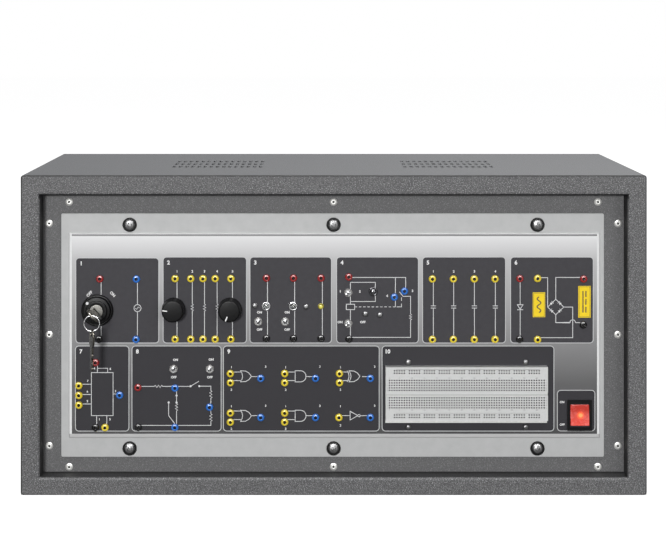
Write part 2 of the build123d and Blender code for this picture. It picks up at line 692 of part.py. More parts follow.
# Potentiometers: case with bushing, shaft, nut, and a knob with its pointer
pot_end = -stack - pot_case_length
pot = turned((0, pot_end), (pot_case_radius, pot_end), (pot_case_radius, -stack),
             (pot_bushing_radius, -stack), (pot_bushing_radius, pot_bushing_height),
             (shaft_radius + 0.05, pot_bushing_height),
             (shaft_radius + 0.05, pot_end + 3), (0, pot_end + 3))
for x in (-5, 0, 5):
    pot += Pos(x, -pot_case_radius - 2.5, -stack - pot_case_length / 2) * Box(1.2, 8.0, 0.8)
shaft = rod(shaft_radius, pot_end + 4, shaft_length)
pot_nut = hexagon(pot_nut_across, 0, pot_nut_thickness, pot_bushing_radius + 0.05)
nut_space = pot_nut_across * 0.5774 + 1.0
knob = turned((nut_space, knob_lift), (knob_skirt_radius, knob_lift), (knob_skirt_radius, knob_lift + 1.6),
              (knob_top_radius, knob_height - 0.9), (knob_top_radius - 0.9, knob_height), (0, knob_height),
              (0, shaft_length + 0.5), (shaft_radius + 0.05, shaft_length + 0.5),
              (shaft_radius + 0.05, pot_bushing_height + 0.7), (nut_space, pot_bushing_height + 0.7))
slot_middle = knob_top_radius - 0.6 - pointer_length / 2
pointer_slot = Pos(slot_middle, 0, knob_height) * Box(pointer_length, pointer_width, 0.6)
knob -= pointer_slot
for name, place, pointer in (("log", knob_log_place, knob_log_pointer),
                             ("lin", knob_lin_place, knob_lin_pointer)):
    turn = on_panel(*place) * Rot(0, 0, pointer)
    save(f"knob_{name}", knob.moved(turn))
    save(f"pot_shaft_{name}", shaft.moved(turn))
save("pot_bodies", repeat(pot, [knob_log_place, knob_lin_place]))
save("pot_nuts", repeat(pot_nut, [knob_log_place, knob_lin_place]))

# Toggle switches: case behind the plate, threaded bushing, nut, and a lever on its ball
toggle_case = block(toggle_case_length, toggle_case_width, -stack - toggle_case_depth, -stack)
toggle_bushing = rod(toggle_bushing_radius, -stack, toggle_bushing_height)
toggle_bushing -= rod(toggle_bore_radius, -stack - 1, toggle_bushing_height + 1)
toggle_nut = hexagon(toggle_nut_across, 0, toggle_nut_thickness, toggle_bushing_radius + 0.05)
ball_radius = toggle_bore_radius - running_gap
bat = turned((0, -toggle_tail_length), (0.8, -toggle_tail_length), (0.8, 0), (1.0, 1.5),
             (1.5, toggle_lever_length - 2.2), (1.45, toggle_lever_length - 0.8),
             (1.1, toggle_lever_length - 0.2), (0, toggle_lever_length))
lever = bat + Sphere(ball_radius)
cases, bushings, nuts = [], [], []
for name, ((x, z), lean) in toggle_places.items():
    place = on_panel(x, z) * Rot(0, 0, lean)
    cases.append(toggle_case.moved(place))
    bushings.append(toggle_bushing.moved(place))
    nuts.append(toggle_nut.moved(place))
    save(name, lever.moved(place * Pos(0, 0, toggle_pivot_height) * Rot(0, toggle_tilt, 0)))
save("toggle_cases", cases)
save("toggle_bushings", bushings)
save("toggle_nuts", nuts)

# Push button: ringed barrel and a domed cap that slides in it
button_bore = button_cap_radius + running_gap
button_barrel = turned((0, -small_barrel_length), (small_barrel_radius, -small_barrel_length),
                       (small_barrel_radius, 0), (small_ring_radius, 0),
                       (small_ring_radius, small_ring_height - 0.5),
                       (small_ring_radius - 0.5, small_ring_height), (button_bore, small_ring_height),
                       (button_bore, barrel_floor - small_barrel_length),
                       (0, barrel_floor - small_barrel_length))
button_cap = rod(button_cap_radius, -button_cap_depth, button_cap_height)
button_cap = fillet(button_cap.edges().sort_by(Axis.Z)[-1], button_cap_round)
save("push_button_bezel", button_barrel.moved(on_panel(*button_place)))
save("push_button_cap", button_cap.moved(on_panel(*button_place)))

# Clear lamps: ringed barrel, hollow lens and a small bulb; and the yellow lamp
lamp_bore = lamp_lens_radius + 0.1
lamp_barrel = turned((0, -small_barrel_length), (small_barrel_radius, -small_barrel_length),
                     (small_barrel_radius, 0), (small_ring_radius, 0),
                     (small_ring_radius, small_ring_height - 0.6),
                     (small_ring_radius - 0.6, small_ring_height), (lamp_bore, small_ring_height),
                     (lamp_bore, -lamp_lens_depth), (bulb_base_radius + 0.05, -lamp_lens_depth),
                     (bulb_base_radius + 0.05, barrel_floor - small_barrel_length),
                     (0, barrel_floor - small_barrel_length))


def half_round(radius, low, centre):
    """A cylinder with a round end: radius, its lower end and the centre of its round end."""
    return rod(radius, low, centre) + Pos(0, 0, centre) * Sphere(radius)


lens_inner = lamp_lens_radius - lamp_lens_wall
lamp_lens = half_round(lamp_lens_radius, -lamp_lens_depth, small_ring_height - 1.2)
lamp_lens -= half_round(lens_inner, -lamp_lens_depth - 5, small_ring_height - 1.2)
bulb = rod(bulb_base_radius, barrel_floor - small_barrel_length, -4.0)
bulb += half_round(bulb_glass_radius, -4.0, -0.6)
led = half_round(led_radius, -4.0, 1.6) + rod(led_flange_radius, 0, 0.9)
save("lamp_bezels", repeat(lamp_barrel, lamp_places))
save("lamp_lenses", repeat(lamp_lens, lamp_places))
save("lamp_bulbs", repeat(bulb, lamp_places))
save("yellow_led", led.moved(on_panel(*led_place)))

# Board screws, spacers with a stud, and the boards
screw_end = -stack - 7.0
board_screw = turned((0, screw_end), (board_screw_radius, screw_end), (board_screw_radius, 0),
                     (board_head_radius, 0), (board_head_radius, 0.6),
                     (board_head_radius * 0.6, board_head_height), (0, board_head_height))
cross_cut = block(3.0, 0.6, board_head_height - 0.9, board_head_height + 1)
board_screw -= cross_cut + Rot(0, 0, 90) * cross_cut
spacer_end = -stack - spacer_length
spacer = hexagon(spacer_across, spacer_end, -stack, board_screw_radius + 0.05)
spacer += rod(spacer_across / 2 - 0.2, spacer_end, screw_end - 1)
spacer += rod(board_screw_radius, spacer_end - spacer_stud, spacer_end)
save("board_screws", repeat(board_screw, board_screw_places))
save("board_standoffs", repeat(spacer, board_screw_places))

board_back = fascia_front + stack + spacer_length + board_thickness


def panel_board(x, z, width, height):
    """An upright circuit board behind the panel with a hole at each spacer that it covers."""
    outline = Pos(x, z) * RectangleRounded(width, height, 2)
    for hole_x, hole_z in board_screw_places:
        if abs(hole_x - x) < width / 2 and abs(hole_z - z) < height / 2:
            outline -= Pos(hole_x, hole_z) * Circle(board_screw_radius + screw_clearance)
    return slab(Pos(0, panel_z) * outline, board_back - board_thickness, board_thickness)


supply_outline = RectangleRounded(supply_width, supply_depth, 2)
for x in (-pillar_x, pillar_x):
    for y in (-pillar_y, pillar_y):
        supply_outline -= Pos(x, y) * Circle(board_screw_radius + screw_clearance)
supply_level = tray_top + supply_lift
supply_board = Pos(supply_x, supply_y, supply_level) * extrude(supply_outline, amount=board_thickness)
boards = [panel_board(*board) for board in (lamp_board, relay_board, logic_board)]
save("circuit_boards", boards + [supply_board])


def on_board(x, z, width, depth, height):
    """A packaged component on the back of an upright board."""
    return Pos(x, board_back + depth / 2, panel_z + z) * Box(width, depth, height)


supply_top = supply_level + board_thickness


def on_supply(x, y, solid):
    return Pos(supply_x + x, supply_y + y, supply_top) * solid


terminal_width, terminal_height = 10.0, 10.0
terminal_x = supply_width / 2 - 7.0
components = [on_board(relay_board[0] + 8, relay_board[1], 19.0, 15.5, 15.0)]
components += [on_board(logic_board[0] + x, logic_board[1] + z, 19.3, 4.5, 6.4)
               for x in (-35, 0, 35) for z in (-8, 18)]
components += [on_board(lamp_board[0] + x, lamp_board[1], 6.3, 2.4, 2.4) for x in (-12, 0, 12)]
components += [on_supply(x, y, rod(radius, 0, height)) for x, y, radius, height in
               ((-28, -22, 9.0, 30.0), (-28, 8, 9.0, 30.0), (-4, -26, 6.0, 20.0))]
fin_pitch = 5.0
heat_sink = Pos(0, 0, 15.0) * Box(30.0, 2.0, 30.0)
for fin in range(7):
    heat_sink += Pos((fin - 3) * fin_pitch * 0.95, 5.0, 15.0) * Box(1.2, 10.0, 30.0)
components += [on_supply(25, 5, heat_sink), on_supply(25, 5, Pos(0, -3.2, 9.0) * Box(10.2, 4.4, 18.0))]
components += [on_supply(x, 0, Pos(0, 0, terminal_height / 2) * Box(terminal_width, 30.0, terminal_height))
               for x in (-terminal_x, terminal_x)]
save("board_components", components)

# Breadboard with square holes, trough and rail grooves, on its plate
columns = [(column - (terminal_columns - 1) / 2) * hole_pitch for column in range(terminal_columns)]
rows = [side * (terminal_half_gap + row * hole_pitch) for side in (-1, 1) for row in range(terminal_rows)]
hole_places = [(x, z) for x in columns for z in rows]
rail_span = rail_group_count * rail_group_pitch - 2
for group in range(rail_group_count):
    for hole in range(rail_group_size):
        x = (group * rail_group_pitch + hole - rail_span / 2) * hole_pitch
        hole_places += [(x, side * offset) for side in (-1, 1) for offset in rail_offsets]
hole_wires = [Wire.make_rect(hole_side, hole_side).moved(Pos(x, z)) for x, z in hole_places]
holed_face = Face(Wire.make_rect(breadboard_width, breadboard_height), hole_wires)
breadboard = Pos(0, 0, breadboard_plate) * extrude(holed_face, amount=breadboard_thickness, dir=(0, 0, 1))
board_top = breadboard_plate + breadboard_thickness
breadboard -= block(breadboard_width + 1, trough_width, board_top - trough_depth, board_top + 1)
for side in (-1, 1):
    groove = block(breadboard_width + 1, groove_width, board_top - groove_depth, board_top + 1)
    breadboard -= Pos(0, side * (last_terminal_row + groove_gap), 0) * groove
plate_full = breadboard_height + breadboard_plate_drop
plate = Pos(0, -breadboard_plate_drop / 2, 0) * block(breadboard_width, plate_full, 0, breadboard_plate)
save("breadboard", breadboard.moved(on_panel(*breadboard_place)))
save("breadboard_plate", plate.moved(on_panel(*breadboard_place)))

# Rocker switch: housing with a bezel, and the rocker on its two pins, rocked in at the top
rocker_frame = on_panel(*rocker_place)
mouth_width = rocker_width + 2 * rocker_side_gap
mouth_height = rocker_height + 2 * rocker_end_gap
housing = block(rocker_bezel_width, rocker_bezel_height, 0, rocker_bezel)
housing += block(rocker_body_width, rocker_body_height, -rocker_body_depth, 0)
housing -= block(mouth_width, mouth_height, -rocker_body_depth + 8, rocker_bezel + 1)
socket_hole = Rot(0, 90, 0) * Cylinder(rocker_pin_radius + running_gap, rocker_body_width + 2)
housing -= Pos(0, 0, -rocker_pivot_depth) * socket_hole
half = rocker_height / 2
rocker_profile = [(-half, 5.4), (0, 3.5), (half, 5.4), (half, 0), (7.0, -2.5), (3.0, -7.5), (-3.0, -7.5),
                  (-7.0, -2.5), (-half, 0)]
rocker_face = make_face(Polyline(*rocker_profile, close=True))
rocker = extrude(Plane.YZ * rocker_face, amount=rocker_width / 2, both=True)
pin_half = rocker_width / 2 + rocker_pin_length
rocker += Rot(0, 90, 0) * Cylinder(rocker_pin_radius, 2 * pin_half)
save("rocker_housing", housing.moved(rocker_frame))
save("rocker", rocker.moved(rocker_frame * Pos(0, 0, -rocker_pivot_depth) * Rot(-rocker_tilt, 0, 0)))

# Labels
labels = [block(width, height, 0, label_thickness).moved(on_panel(x, z))
          for x, z, width, height in label_places]
save("range_labels", labels)

# Mains inlet: flange, body, cavity and three flat pins
inlet_place = Plane(origin=(inlet_x, back, inlet_z), x_dir=(-1, 0, 0), z_dir=(0, 1, 0)).location
flange_top = inlet_flange_thickness
inlet = block(inlet_flange[0], inlet_flange[1], 0, flange_top)
inlet += block(inlet_body[0], inlet_body[1], -inlet_body_depth, 0)
cavity_outline = Rectangle(*inlet_cavity)
cavity_outline = chamfer(cavity_outline.vertices().group_by(Axis.Y)[-1], 4.0)
cavity_floor = flange_top - inlet_cavity_depth
inlet -= Pos(0, 0, cavity_floor) * extrude(cavity_outline, amount=inlet_cavity_depth + 1)
pin_places = [(-inlet_pin_spread, -inlet_earth_rise / 2), (inlet_pin_spread, -inlet_earth_rise / 2),
              (0, inlet_earth_rise / 2)]
for x, y in pin_places:
    inlet += Pos(x, y, 0) * block(inlet_pin[0], inlet_pin[1], cavity_floor - 1, cavity_floor + inlet_pin[2])
save("mains_inlet", inlet.moved(inlet_place))

# Transformer: laminated core on two feet, and the winding round its middle leg
core_low = tray_top + sheet
window = (core_width - 4 * core_leg) / 2
core_outline = Rectangle(core_width, core_height)
core_outline -= [Pos(side * (core_leg + window / 2), 0) * Rectangle(window, core_height - 2 * core_leg)
                 for side in (-1, 1)]
core = extrude(Plane.XZ * core_outline, amount=core_stack / 2, both=True)
core = Pos(transformer_x, transformer_y, core_low + core_height / 2) * core
foot = Pos(transformer_x, transformer_y, tray_top + sheet / 2) * Box(core_foot_length, core_stack, sheet)
for side in (-1, 1):
    stud_place = Pos(transformer_x + side * foot_hole_x, transformer_y, tray_top)
    foot -= stud_place * Cylinder(tray_stud_radius + 0.2, 9)
save("transformer_core", core + foot)
winding_width = 2 * core_leg + 2 * window - 2 * winding_gap
winding_depth = core_stack + 2 * window
winding_outline = RectangleRounded(winding_width, winding_depth, 3)
winding_outline -= Rectangle(2 * core_leg + 2 * winding_gap, core_stack + 2 * winding_gap)
winding_height = core_height - 2 * core_leg - 2 * winding_gap
winding = extrude(winding_outline, amount=winding_height)
winding = Pos(transformer_x, transformer_y, core_low + core_leg + winding_gap) * winding
save("transformer_winding", winding)

# Wiring looms inside the cabinet
loom_radius = 2.5
loom_bend = 12.0


def loom(*points):
    """A bundle of wires along straight runs that are joined by arcs."""
    path = FilletPolyline(*points, radius=loom_bend)
    start = Plane(origin=path @ 0, z_dir=path % 0)
    return sweep(start * Circle(loom_radius), path=path)


inlet_rear = back - inlet_body_depth
rocker_rear = fascia_front + rocker_body_depth
rocker_x, rocker_level = rocker_place[0], panel_z + rocker_place[1]
winding_face = transformer_y - winding_depth / 2
winding_low = core_low + core_leg
terminal_level = supply_top + terminal_height / 2
left_terminal = supply_x - terminal_x - terminal_width / 2
right_terminal = supply_x + terminal_x + terminal_width / 2
logic_x, logic_level = logic_board[0] + 55.0, panel_z + logic_board[1] + 20.0
looms = [
    loom((inlet_x, inlet_rear, inlet_z), (inlet_x, inlet_rear - 40, inlet_z),
         (rocker_x - 10, 0, rocker_level + 20), (rocker_x, rocker_rear + 35, rocker_level + 6),
         (rocker_x, rocker_rear, rocker_level + 6)),
    loom((rocker_x, rocker_rear, rocker_level - 6), (rocker_x, rocker_rear + 30, rocker_level - 6),
         (rocker_x - 40, rocker_rear + 70, 20), (supply_x - supply_width / 2 - 30, rocker_rear + 80, 20),
         (transformer_x - 10, winding_face - 30, winding_low + 8),
         (transformer_x - 10, winding_face, winding_low + 8)),
    loom((transformer_x + 10, winding_face, winding_low + 22),
         (transformer_x + 10, winding_face - 20, winding_low + 22),
         (left_terminal - 35, supply_y - 20, terminal_level),
         (left_terminal - 20, supply_y, terminal_level), (left_terminal, supply_y, terminal_level)),
    loom((right_terminal, supply_y, terminal_level), (right_terminal + 25, supply_y, terminal_level),
         (logic_x, supply_y - 60, terminal_level + 50), (logic_x, board_back + 30, logic_level),
         (logic_x, board_back, logic_level)),
]
save("wiring_looms", looms)
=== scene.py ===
"""Looks of an automotive electrical trainer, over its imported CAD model, in metres."""
import math

import bmesh
import bpy
from mathutils import Matrix, Vector


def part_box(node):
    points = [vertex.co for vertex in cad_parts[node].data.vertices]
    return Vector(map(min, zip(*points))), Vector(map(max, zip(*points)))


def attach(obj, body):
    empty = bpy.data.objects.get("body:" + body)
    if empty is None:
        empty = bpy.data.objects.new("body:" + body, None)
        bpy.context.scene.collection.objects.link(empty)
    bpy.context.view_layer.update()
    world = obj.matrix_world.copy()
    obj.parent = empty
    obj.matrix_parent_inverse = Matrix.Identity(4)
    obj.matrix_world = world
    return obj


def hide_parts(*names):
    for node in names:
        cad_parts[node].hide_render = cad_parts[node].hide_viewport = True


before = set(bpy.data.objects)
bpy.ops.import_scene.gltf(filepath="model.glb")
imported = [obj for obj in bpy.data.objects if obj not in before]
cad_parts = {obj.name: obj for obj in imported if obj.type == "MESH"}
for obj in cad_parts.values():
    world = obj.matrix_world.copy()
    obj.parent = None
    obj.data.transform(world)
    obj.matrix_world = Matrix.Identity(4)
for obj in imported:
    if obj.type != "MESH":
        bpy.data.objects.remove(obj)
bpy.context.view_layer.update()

# Camera: a long lens far in front of the panel and above its top edge, kept level, with the picture
# shifted down to the cabinet, as a flat instrument is photographed so that its edges stay upright.
camera = bpy.data.objects.new("camera", bpy.data.cameras.new("camera"))
bpy.context.scene.collection.objects.link(camera)
camera.location = (-0.01695, -1.985, 0.4781)
camera.rotation_euler = (math.radians(90), 0, 0)
camera.data.sensor_width = 36
camera.data.lens = 98
camera.data.shift_x = 0.024
camera.data.shift_y = -0.3694
bpy.context.scene.camera = camera

# Cabinet: wrap, base tray and rear panel of 1.5 mm sheet steel behind a folded front frame. All are
# powder coated in a speckled grey that is coarser and rougher on the frame than on the wrap.
mm = 0.001
front_coat_grain = 1.3
wrap_coat_grain = 0.8


def tint(red, green, blue):
    """A colour given as it shows on a screen, from 0 to 255, turned into the light that it reflects."""
    levels = [level / 255 for level in (red, green, blue)]
    return tuple(v / 12.92 if v <= 0.04045 else ((v + 0.055) / 1.055) ** 2.4 for v in levels) + (1.0,)


def node(tree, kind, feeds, **settings):
    """A shader node, with each input set to a value or joined to another node's output."""
    made = tree.nodes.new(f"ShaderNode{kind}")
    for setting, value in settings.items():
        setattr(made, setting, value)
    for socket, value in feeds.items():
        if isinstance(value, bpy.types.NodeSocket):
            tree.links.new(value, made.inputs[socket])
        else:
            made.inputs[socket].default_value = value
    return made


def sums(tree, operation, first, second):
    """One step of arithmetic on values that vary over the surface."""
    return node(tree, "Math", {0: first, 1: second}, operation=operation).outputs[0]


def between(tree, share, first, second):
    """The colour that is share of the way from the first colour to the second."""
    return node(tree, "Mix", {0: share, 6: first, 7: second}, data_type="RGBA").outputs[2]


def effect(name, inputs, outputs):
    """A shader node group with named sockets, and its input and output nodes."""
    tree = bpy.data.node_groups.new(name, "ShaderNodeTree")
    for label, kind, value in inputs:
        socket = tree.interface.new_socket(label, in_out="INPUT", socket_type=f"NodeSocket{kind}")
        socket.default_value = value
    for label, kind in outputs:
        tree.interface.new_socket(label, in_out="OUTPUT", socket_type=f"NodeSocket{kind}")
    return tree, tree.nodes.new("NodeGroupInput"), tree.nodes.new("NodeGroupOutput")


def mottle(tree, size, detail, low, high, stretch=None, seed=0.0):
    """A cloudy value from 0 to 1 over the surface, with patches of the given size in millimetres."""
    place = node(tree, "TexCoord", {}).outputs["Object"]
    if stretch is not None:
        place = node(tree, "VectorMath", {0: place, 1: stretch}, operation="MULTIPLY").outputs[0]
    place = node(tree, "VectorMath", {0: place, 1: (seed, seed, seed)}, operation="ADD").outputs[0]
    scale = sums(tree, "DIVIDE", 1000.0, size)
    cloud = node(tree, "TexNoise", {"Vector": place, "Scale": scale, "Detail": detail, "Roughness": 0.6})
    spread = node(tree, "MapRange", {"Value": cloud.outputs[0], "From Min": low, "From Max": high})
    return spread.outputs[0]


powder, taken, given = effect(
    "powder coat",
    [("Ground", "Color", tint(108, 108, 110)), ("Dark", "Color", tint(90, 90, 92)),
     ("Fleck", "Color", tint(165, 165, 168)), ("Size", "Float", 1.0), ("Roughness", "Float", 0.5)],
    [("Color", "Color"), ("Roughness", "Float"), ("Height", "Float")])
lumps = mottle(powder, taken.outputs["Size"], 2.0, 0.36, 0.64)
flecks = mottle(powder, sums(powder, "MULTIPLY", taken.outputs["Size"], 0.75), 1.0, 0.57, 0.67, seed=3.0)
shade = between(powder, lumps, taken.outputs["Dark"], taken.outputs["Ground"])
powder.links.new(between(powder, flecks, shade, taken.outputs["Fleck"]), given.inputs["Color"])
powder.links.new(sums(powder, "ADD", lumps, sums(powder, "MULTIPLY", flecks, 0.5)), given.inputs["Height"])
dulling = sums(powder, "MULTIPLY", lumps, 0.15)
powder.links.new(sums(powder, "ADD", taken.outputs["Roughness"], dulling), given.inputs["Roughness"])


inside, taken, given = effect(
    "inside box", [("Low", "Vector", (0, 0, 0)), ("High", "Vector", (0, 0, 0))], [("Mask", "Float")])
place = node(inside, "SeparateXYZ", {0: node(inside, "TexCoord", {}).outputs["Object"]})
low = node(inside, "SeparateXYZ", {0: taken.outputs["Low"]})
high = node(inside, "SeparateXYZ", {0: taken.outputs["High"]})
mask = None
for axis in range(3):
    over = sums(inside, "GREATER_THAN", place.outputs[axis], low.outputs[axis])
    under = sums(inside, "LESS_THAN", place.outputs[axis], high.outputs[axis])
    both = sums(inside, "MULTIPLY", over, under)
    mask = both if mask is None else sums(inside, "MULTIPLY", mask, both)
inside.links.new(mask, given.inputs["Mask"])


def material_of(name, surface_tree, values, relief, metallic=0.0, clear=0.0, shine=0.5):
    """A material whose colour, gloss and relief come from one effect with its own values."""
    material = bpy.data.materials.new(name)
    material.use_nodes = True
    tree = material.node_tree
    shader = tree.nodes["Principled BSDF"]
    shader.inputs["Metallic"].default_value = metallic
    shader.inputs["Coat Weight"].default_value = clear
    shader.inputs["Specular IOR Level"].default_value = shine
    surface = node(tree, "Group", values, node_tree=surface_tree)
    bump = node(tree, "Bump", {"Strength": 1.0, "Distance": relief * mm, "Height": surface.outputs["Height"]})
    tree.links.new(surface.outputs["Color"], shader.inputs["Base Color"])
    tree.links.new(surface.outputs["Roughness"], shader.inputs["Roughness"])
    tree.links.new(bump.outputs["Normal"], shader.inputs["Normal"])
    return material


def coat(material, *names):
    """Give CAD nodes their finish."""
    for name in names:
        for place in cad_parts[name].material_slots:
            place.material = material


def toned(material, color, *boxes):
    """Give a material another colour inside boxes, each from a low to a high corner in millimetres."""
    tree = material.node_tree
    shade = tree.nodes["Principled BSDF"].inputs["Base Color"]
    for low, high in boxes:
        corners = {"Low": [v * mm for v in low], "High": [v * mm for v in high]}
        mask = node(tree, "Group", corners, node_tree=inside).outputs["Mask"]
        tree.links.new(between(tree, mask, shade.links[0].from_socket, tint(*color)), shade)


frame_paint = material_of("frame_powder_coat", powder, {
    "Ground": tint(99, 99, 100), "Dark": tint(73, 73, 74), "Fleck": tint(158, 158, 160),
    "Size": front_coat_grain, "Roughness": 0.5}, 0.05, shine=0.25)
# Painted shade: dark colours on the recess walls, on the fold under the top lip and on the recess floor,
# darkest along its back, stand in for the shade in the recess.
toned(frame_paint, (40, 40, 41), ((-298.3, -147.2, 0), (-290, -120, 324)),
      ((-300, -149.4, 300), (300, -120, 305.4)))
toned(frame_paint, (30, 30, 31), ((290, -147.2, 0), (298.3, -120, 324)))
toned(frame_paint, (60, 60, 61), ((-296, -147.2, 17), (296, -133, 18.6)))
toned(frame_paint, (28, 28, 29), ((-296, -133, 17), (296, -120, 18.6)))
# Painted shade: thin dark strips along the frame's outer left, top and right front edges, lighter on the
# right, stand in for the shade on the turn of the fold.
toned(frame_paint, (40, 40, 41), ((-318, -151, 0), (-315.5, -149, 324)),
      ((-317, -151, 322.6), (317, -147.9, 326)))
toned(frame_paint, (78, 79, 81), ((315.2, -151, 0), (318, -149, 322.7)))
wrap_paint = material_of("wrap_powder_coat", powder, {
    "Ground": tint(107, 108, 110), "Dark": tint(98, 99, 101), "Fleck": tint(126, 127, 130),
    "Size": wrap_coat_grain, "Roughness": 0.48}, 0.03, shine=0.4)
coat(frame_paint, "front_frame")
coat(wrap_paint, "cover", "base_tray", "rear_panel")

# Case screws: black pan heads with a cross recess, through the wrap and the rear panel into the
# frame, the tray's flanges and the wrap's lips. Steel, blackened, driven flush on the paint.
case_width, case_depth = 634.0, 300.0
case_head = [(0, -8), (2, -8), (2, 0), (3.8, 0), (3.8, 0.96), (2.3, 2.3), (0, 2.4)]
side_screws = [(-128, 60), (-128, 264), (-60, 12.5), (90, 12.5)]
rear_screws = [(-200, 316.5), (200, 316.5), (-200, 12.5), (200, 12.5)]
rear_screws += [(side * 309.5, z) for side in (-1, 1) for z in (85, 245)]

grain, taken, given = effect(
    "surface grain",
    [("Base", "Color", tint(128, 128, 128)), ("Patch", "Color", tint(140, 140, 140)),
     ("Size", "Float", 1.0), ("Stretch", "Vector", (1, 1, 1)), ("Roughness", "Float", 0.4),
     ("Spread", "Float", 0.1)],
    [("Color", "Color"), ("Roughness", "Float"), ("Height", "Float")])
patches = mottle(grain, taken.outputs["Size"], 4.0, 0.3, 0.7, taken.outputs["Stretch"])
grain.links.new(between(grain, patches, taken.outputs["Base"], taken.outputs["Patch"]), given.inputs["Color"])
gloss = sums(grain, "MULTIPLY", patches, taken.outputs["Spread"])
grain.links.new(sums(grain, "ADD", taken.outputs["Roughness"], gloss), given.inputs["Roughness"])
grain.links.new(patches, given.inputs["Height"])


def grained(name, base, patch, size, roughness, relief=0.02, spread=0.12, metallic=0.0, clear=0.0,
            stretch=(1, 1, 1), shine=0.5):
    """A plain finish with its own cloudiness, gloss variation and fine relief."""
    values = {"Base": tint(*base), "Patch": tint(*patch), "Size": size, "Stretch": stretch,
              "Roughness": roughness, "Spread": spread}
    return material_of(name, grain, values, relief, metallic, clear, shine)


def eased(profile, reach):
    """The profile of a turned piece with its corners rounded, apart from those on the axis."""
    points = [Vector(point) for point in profile]
    result = []
    for before, corner, after in zip(points[-1:] + points[:-1], points, points[1:] + points[:1]):
        back, on = before - corner, after - corner
        size = min(reach, back.length * 0.45, on.length * 0.45)
        if corner.x < 0.001 or size < 0.02:
            result.append(corner)
            continue
        start, end = corner + back.normalized() * size, corner + on.normalized() * size
        for step in (0, 0.33, 0.67, 1):
            result.append(start * (1 - step) ** 2 + corner * 2 * step * (1 - step) + end * step ** 2)
    return result


def spin(profile, sides=32):
    """A turned piece about its own axis, from (radius, height) points in millimetres."""
    shape = bmesh.new()
    rings = []
    for radius, height in profile:
        turns = [math.tau * i / sides for i in range(sides)] if radius > 0.001 else [0]
        rings.append([shape.verts.new((radius * math.cos(a), radius * math.sin(a), height)) for a in turns])
    for ring, beyond in zip(rings, rings[1:] + rings[:1]):
        for i in range(sides if len(ring) + len(beyond) > 2 else 0):
            corners = [ring[i % len(ring)], ring[(i + 1) % len(ring)],
                       beyond[(i + 1) % len(beyond)], beyond[i % len(beyond)]]
            shape.faces.new(list(dict.fromkeys(corners)))
    bmesh.ops.recalc_face_normals(shape, faces=shape.faces)
    return shape


def tapered(length, width, low, high, draft=1.0):
    """A block from low to high, with its lower end scaled by draft."""
    shape = bmesh.new()
    bmesh.ops.create_cube(shape, size=1.0)
    for corner in shape.verts:
        scale = draft if corner.co.z < 0 else 1.0
        corner.co = (corner.co.x * length * scale, corner.co.y * width * scale,
                     high if corner.co.z > 0 else low)
    return shape


def cut(shape, *tools):
    """The shape with the space of each tool taken out of it."""
    blanks = []
    for solid in (shape, *tools):
        blank = bpy.data.objects.new("blank", bpy.data.meshes.new("blank"))
        solid.to_mesh(blank.data)
        bpy.context.scene.collection.objects.link(blank)
        blanks.append(blank)
    for tool in blanks[1:]:
        step = blanks[0].modifiers.new("cut", "BOOLEAN")
        step.operation = "DIFFERENCE"
        step.solver = "EXACT"
        step.object = tool
    bpy.context.view_layer.update()
    result = bmesh.new()
    result.from_mesh(blanks[0].evaluated_get(bpy.context.evaluated_depsgraph_get()).to_mesh())
    for blank in blanks:
        bpy.data.meshes.remove(blank.data)
    return result


def crossed(profile, reach, width, depth):
    """A turned screw with a cross recess in its head."""
    top = max(height for radius, height in profile)
    slots = []
    for turn in (0, 90):
        slot = tapered(2 * reach, width, top - depth, top + 0.5, 0.55)
        bmesh.ops.rotate(slot, cent=(0, 0, 0), matrix=Matrix.Rotation(math.radians(turn), 3, "Z"),
                         verts=slot.verts)
        slots.append(slot)
    return cut(spin(eased(profile, 0.3), 36), *slots)


def several(shape, places):
    """Copies of a piece at each place, as one shape."""
    pattern = bpy.data.meshes.new("pattern")
    shape.to_mesh(pattern)
    whole = bmesh.new()
    for place in places:
        start = len(whole.verts)
        whole.from_mesh(pattern)
        whole.verts.ensure_lookup_table()
        bmesh.ops.transform(whole, matrix=place, verts=whole.verts[start:])
    bpy.data.meshes.remove(pattern)
    return whole


def finished(name, shape, material, slot, *stands_for, body="trainer", crease=32):
    """Make the piece, smooth it between its edges, and fix it to its body in place of CAD nodes."""
    mesh = bpy.data.meshes.new(name)
    bmesh.ops.recalc_face_normals(shape, faces=shape.faces)
    shape.to_mesh(mesh)
    mesh.shade_smooth()
    mesh.set_sharp_from_angle(angle=math.radians(crease))
    mesh.materials.append(material)
    piece = bpy.data.objects.new(name, mesh)
    bpy.context.scene.collection.objects.link(piece)
    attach(piece, body)
    if stands_for:
        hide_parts(*stands_for)
    return piece


def outward(x, y, z, direction):
    """The place of a piece whose axis leaves the cabinet at a point, in millimetres."""
    aim = Vector(direction).to_track_quat("Z", "Y").to_matrix().to_4x4()
    return Matrix.Translation(Vector((x, y, z)) * mm) @ aim @ Matrix.Scale(mm, 4)


blackened = grained("blackened_screw", (34, 34, 35), (52, 52, 53), 1.2, 0.32, 0.01, metallic=0.6)
places = [outward(side * case_width / 2, y, z, (side, 0, 0)) for side in (-1, 1) for y, z in side_screws]
places += [outward(x, case_depth / 2, z, (0, 1, 0)) for x, z in rear_screws]
finished("case_screws", several(crossed(case_head, 2.1, 0.9, 1.3), places), blackened, "black_moulded",
         "cover_screws")

# Inside the cabinet: transformer on the tray's studs, supply board on its pillars, looms of sleeved
# wire, and the moulded mains inlet in the rear panel with its three nickel-plated pins.
coat(grained("varnished_laminations", (62, 62, 66), (92, 90, 88), 2.5, 0.45, 0.05, metallic=0.6,
             stretch=(1, 6, 1)), "transformer_core")
coat(grained("winding_tape", (190, 160, 70), (205, 178, 92), 6.0, 0.4, 0.05, stretch=(1, 1, 4)),
     "transformer_winding")
coat(grained("wire_sleeve", (30, 30, 34), (48, 48, 52), 3.0, 0.5), "wiring_looms")
coat(grained("inlet_plastic", (22, 22, 24), (34, 34, 36), 1.5, 0.42), "mains_inlet")
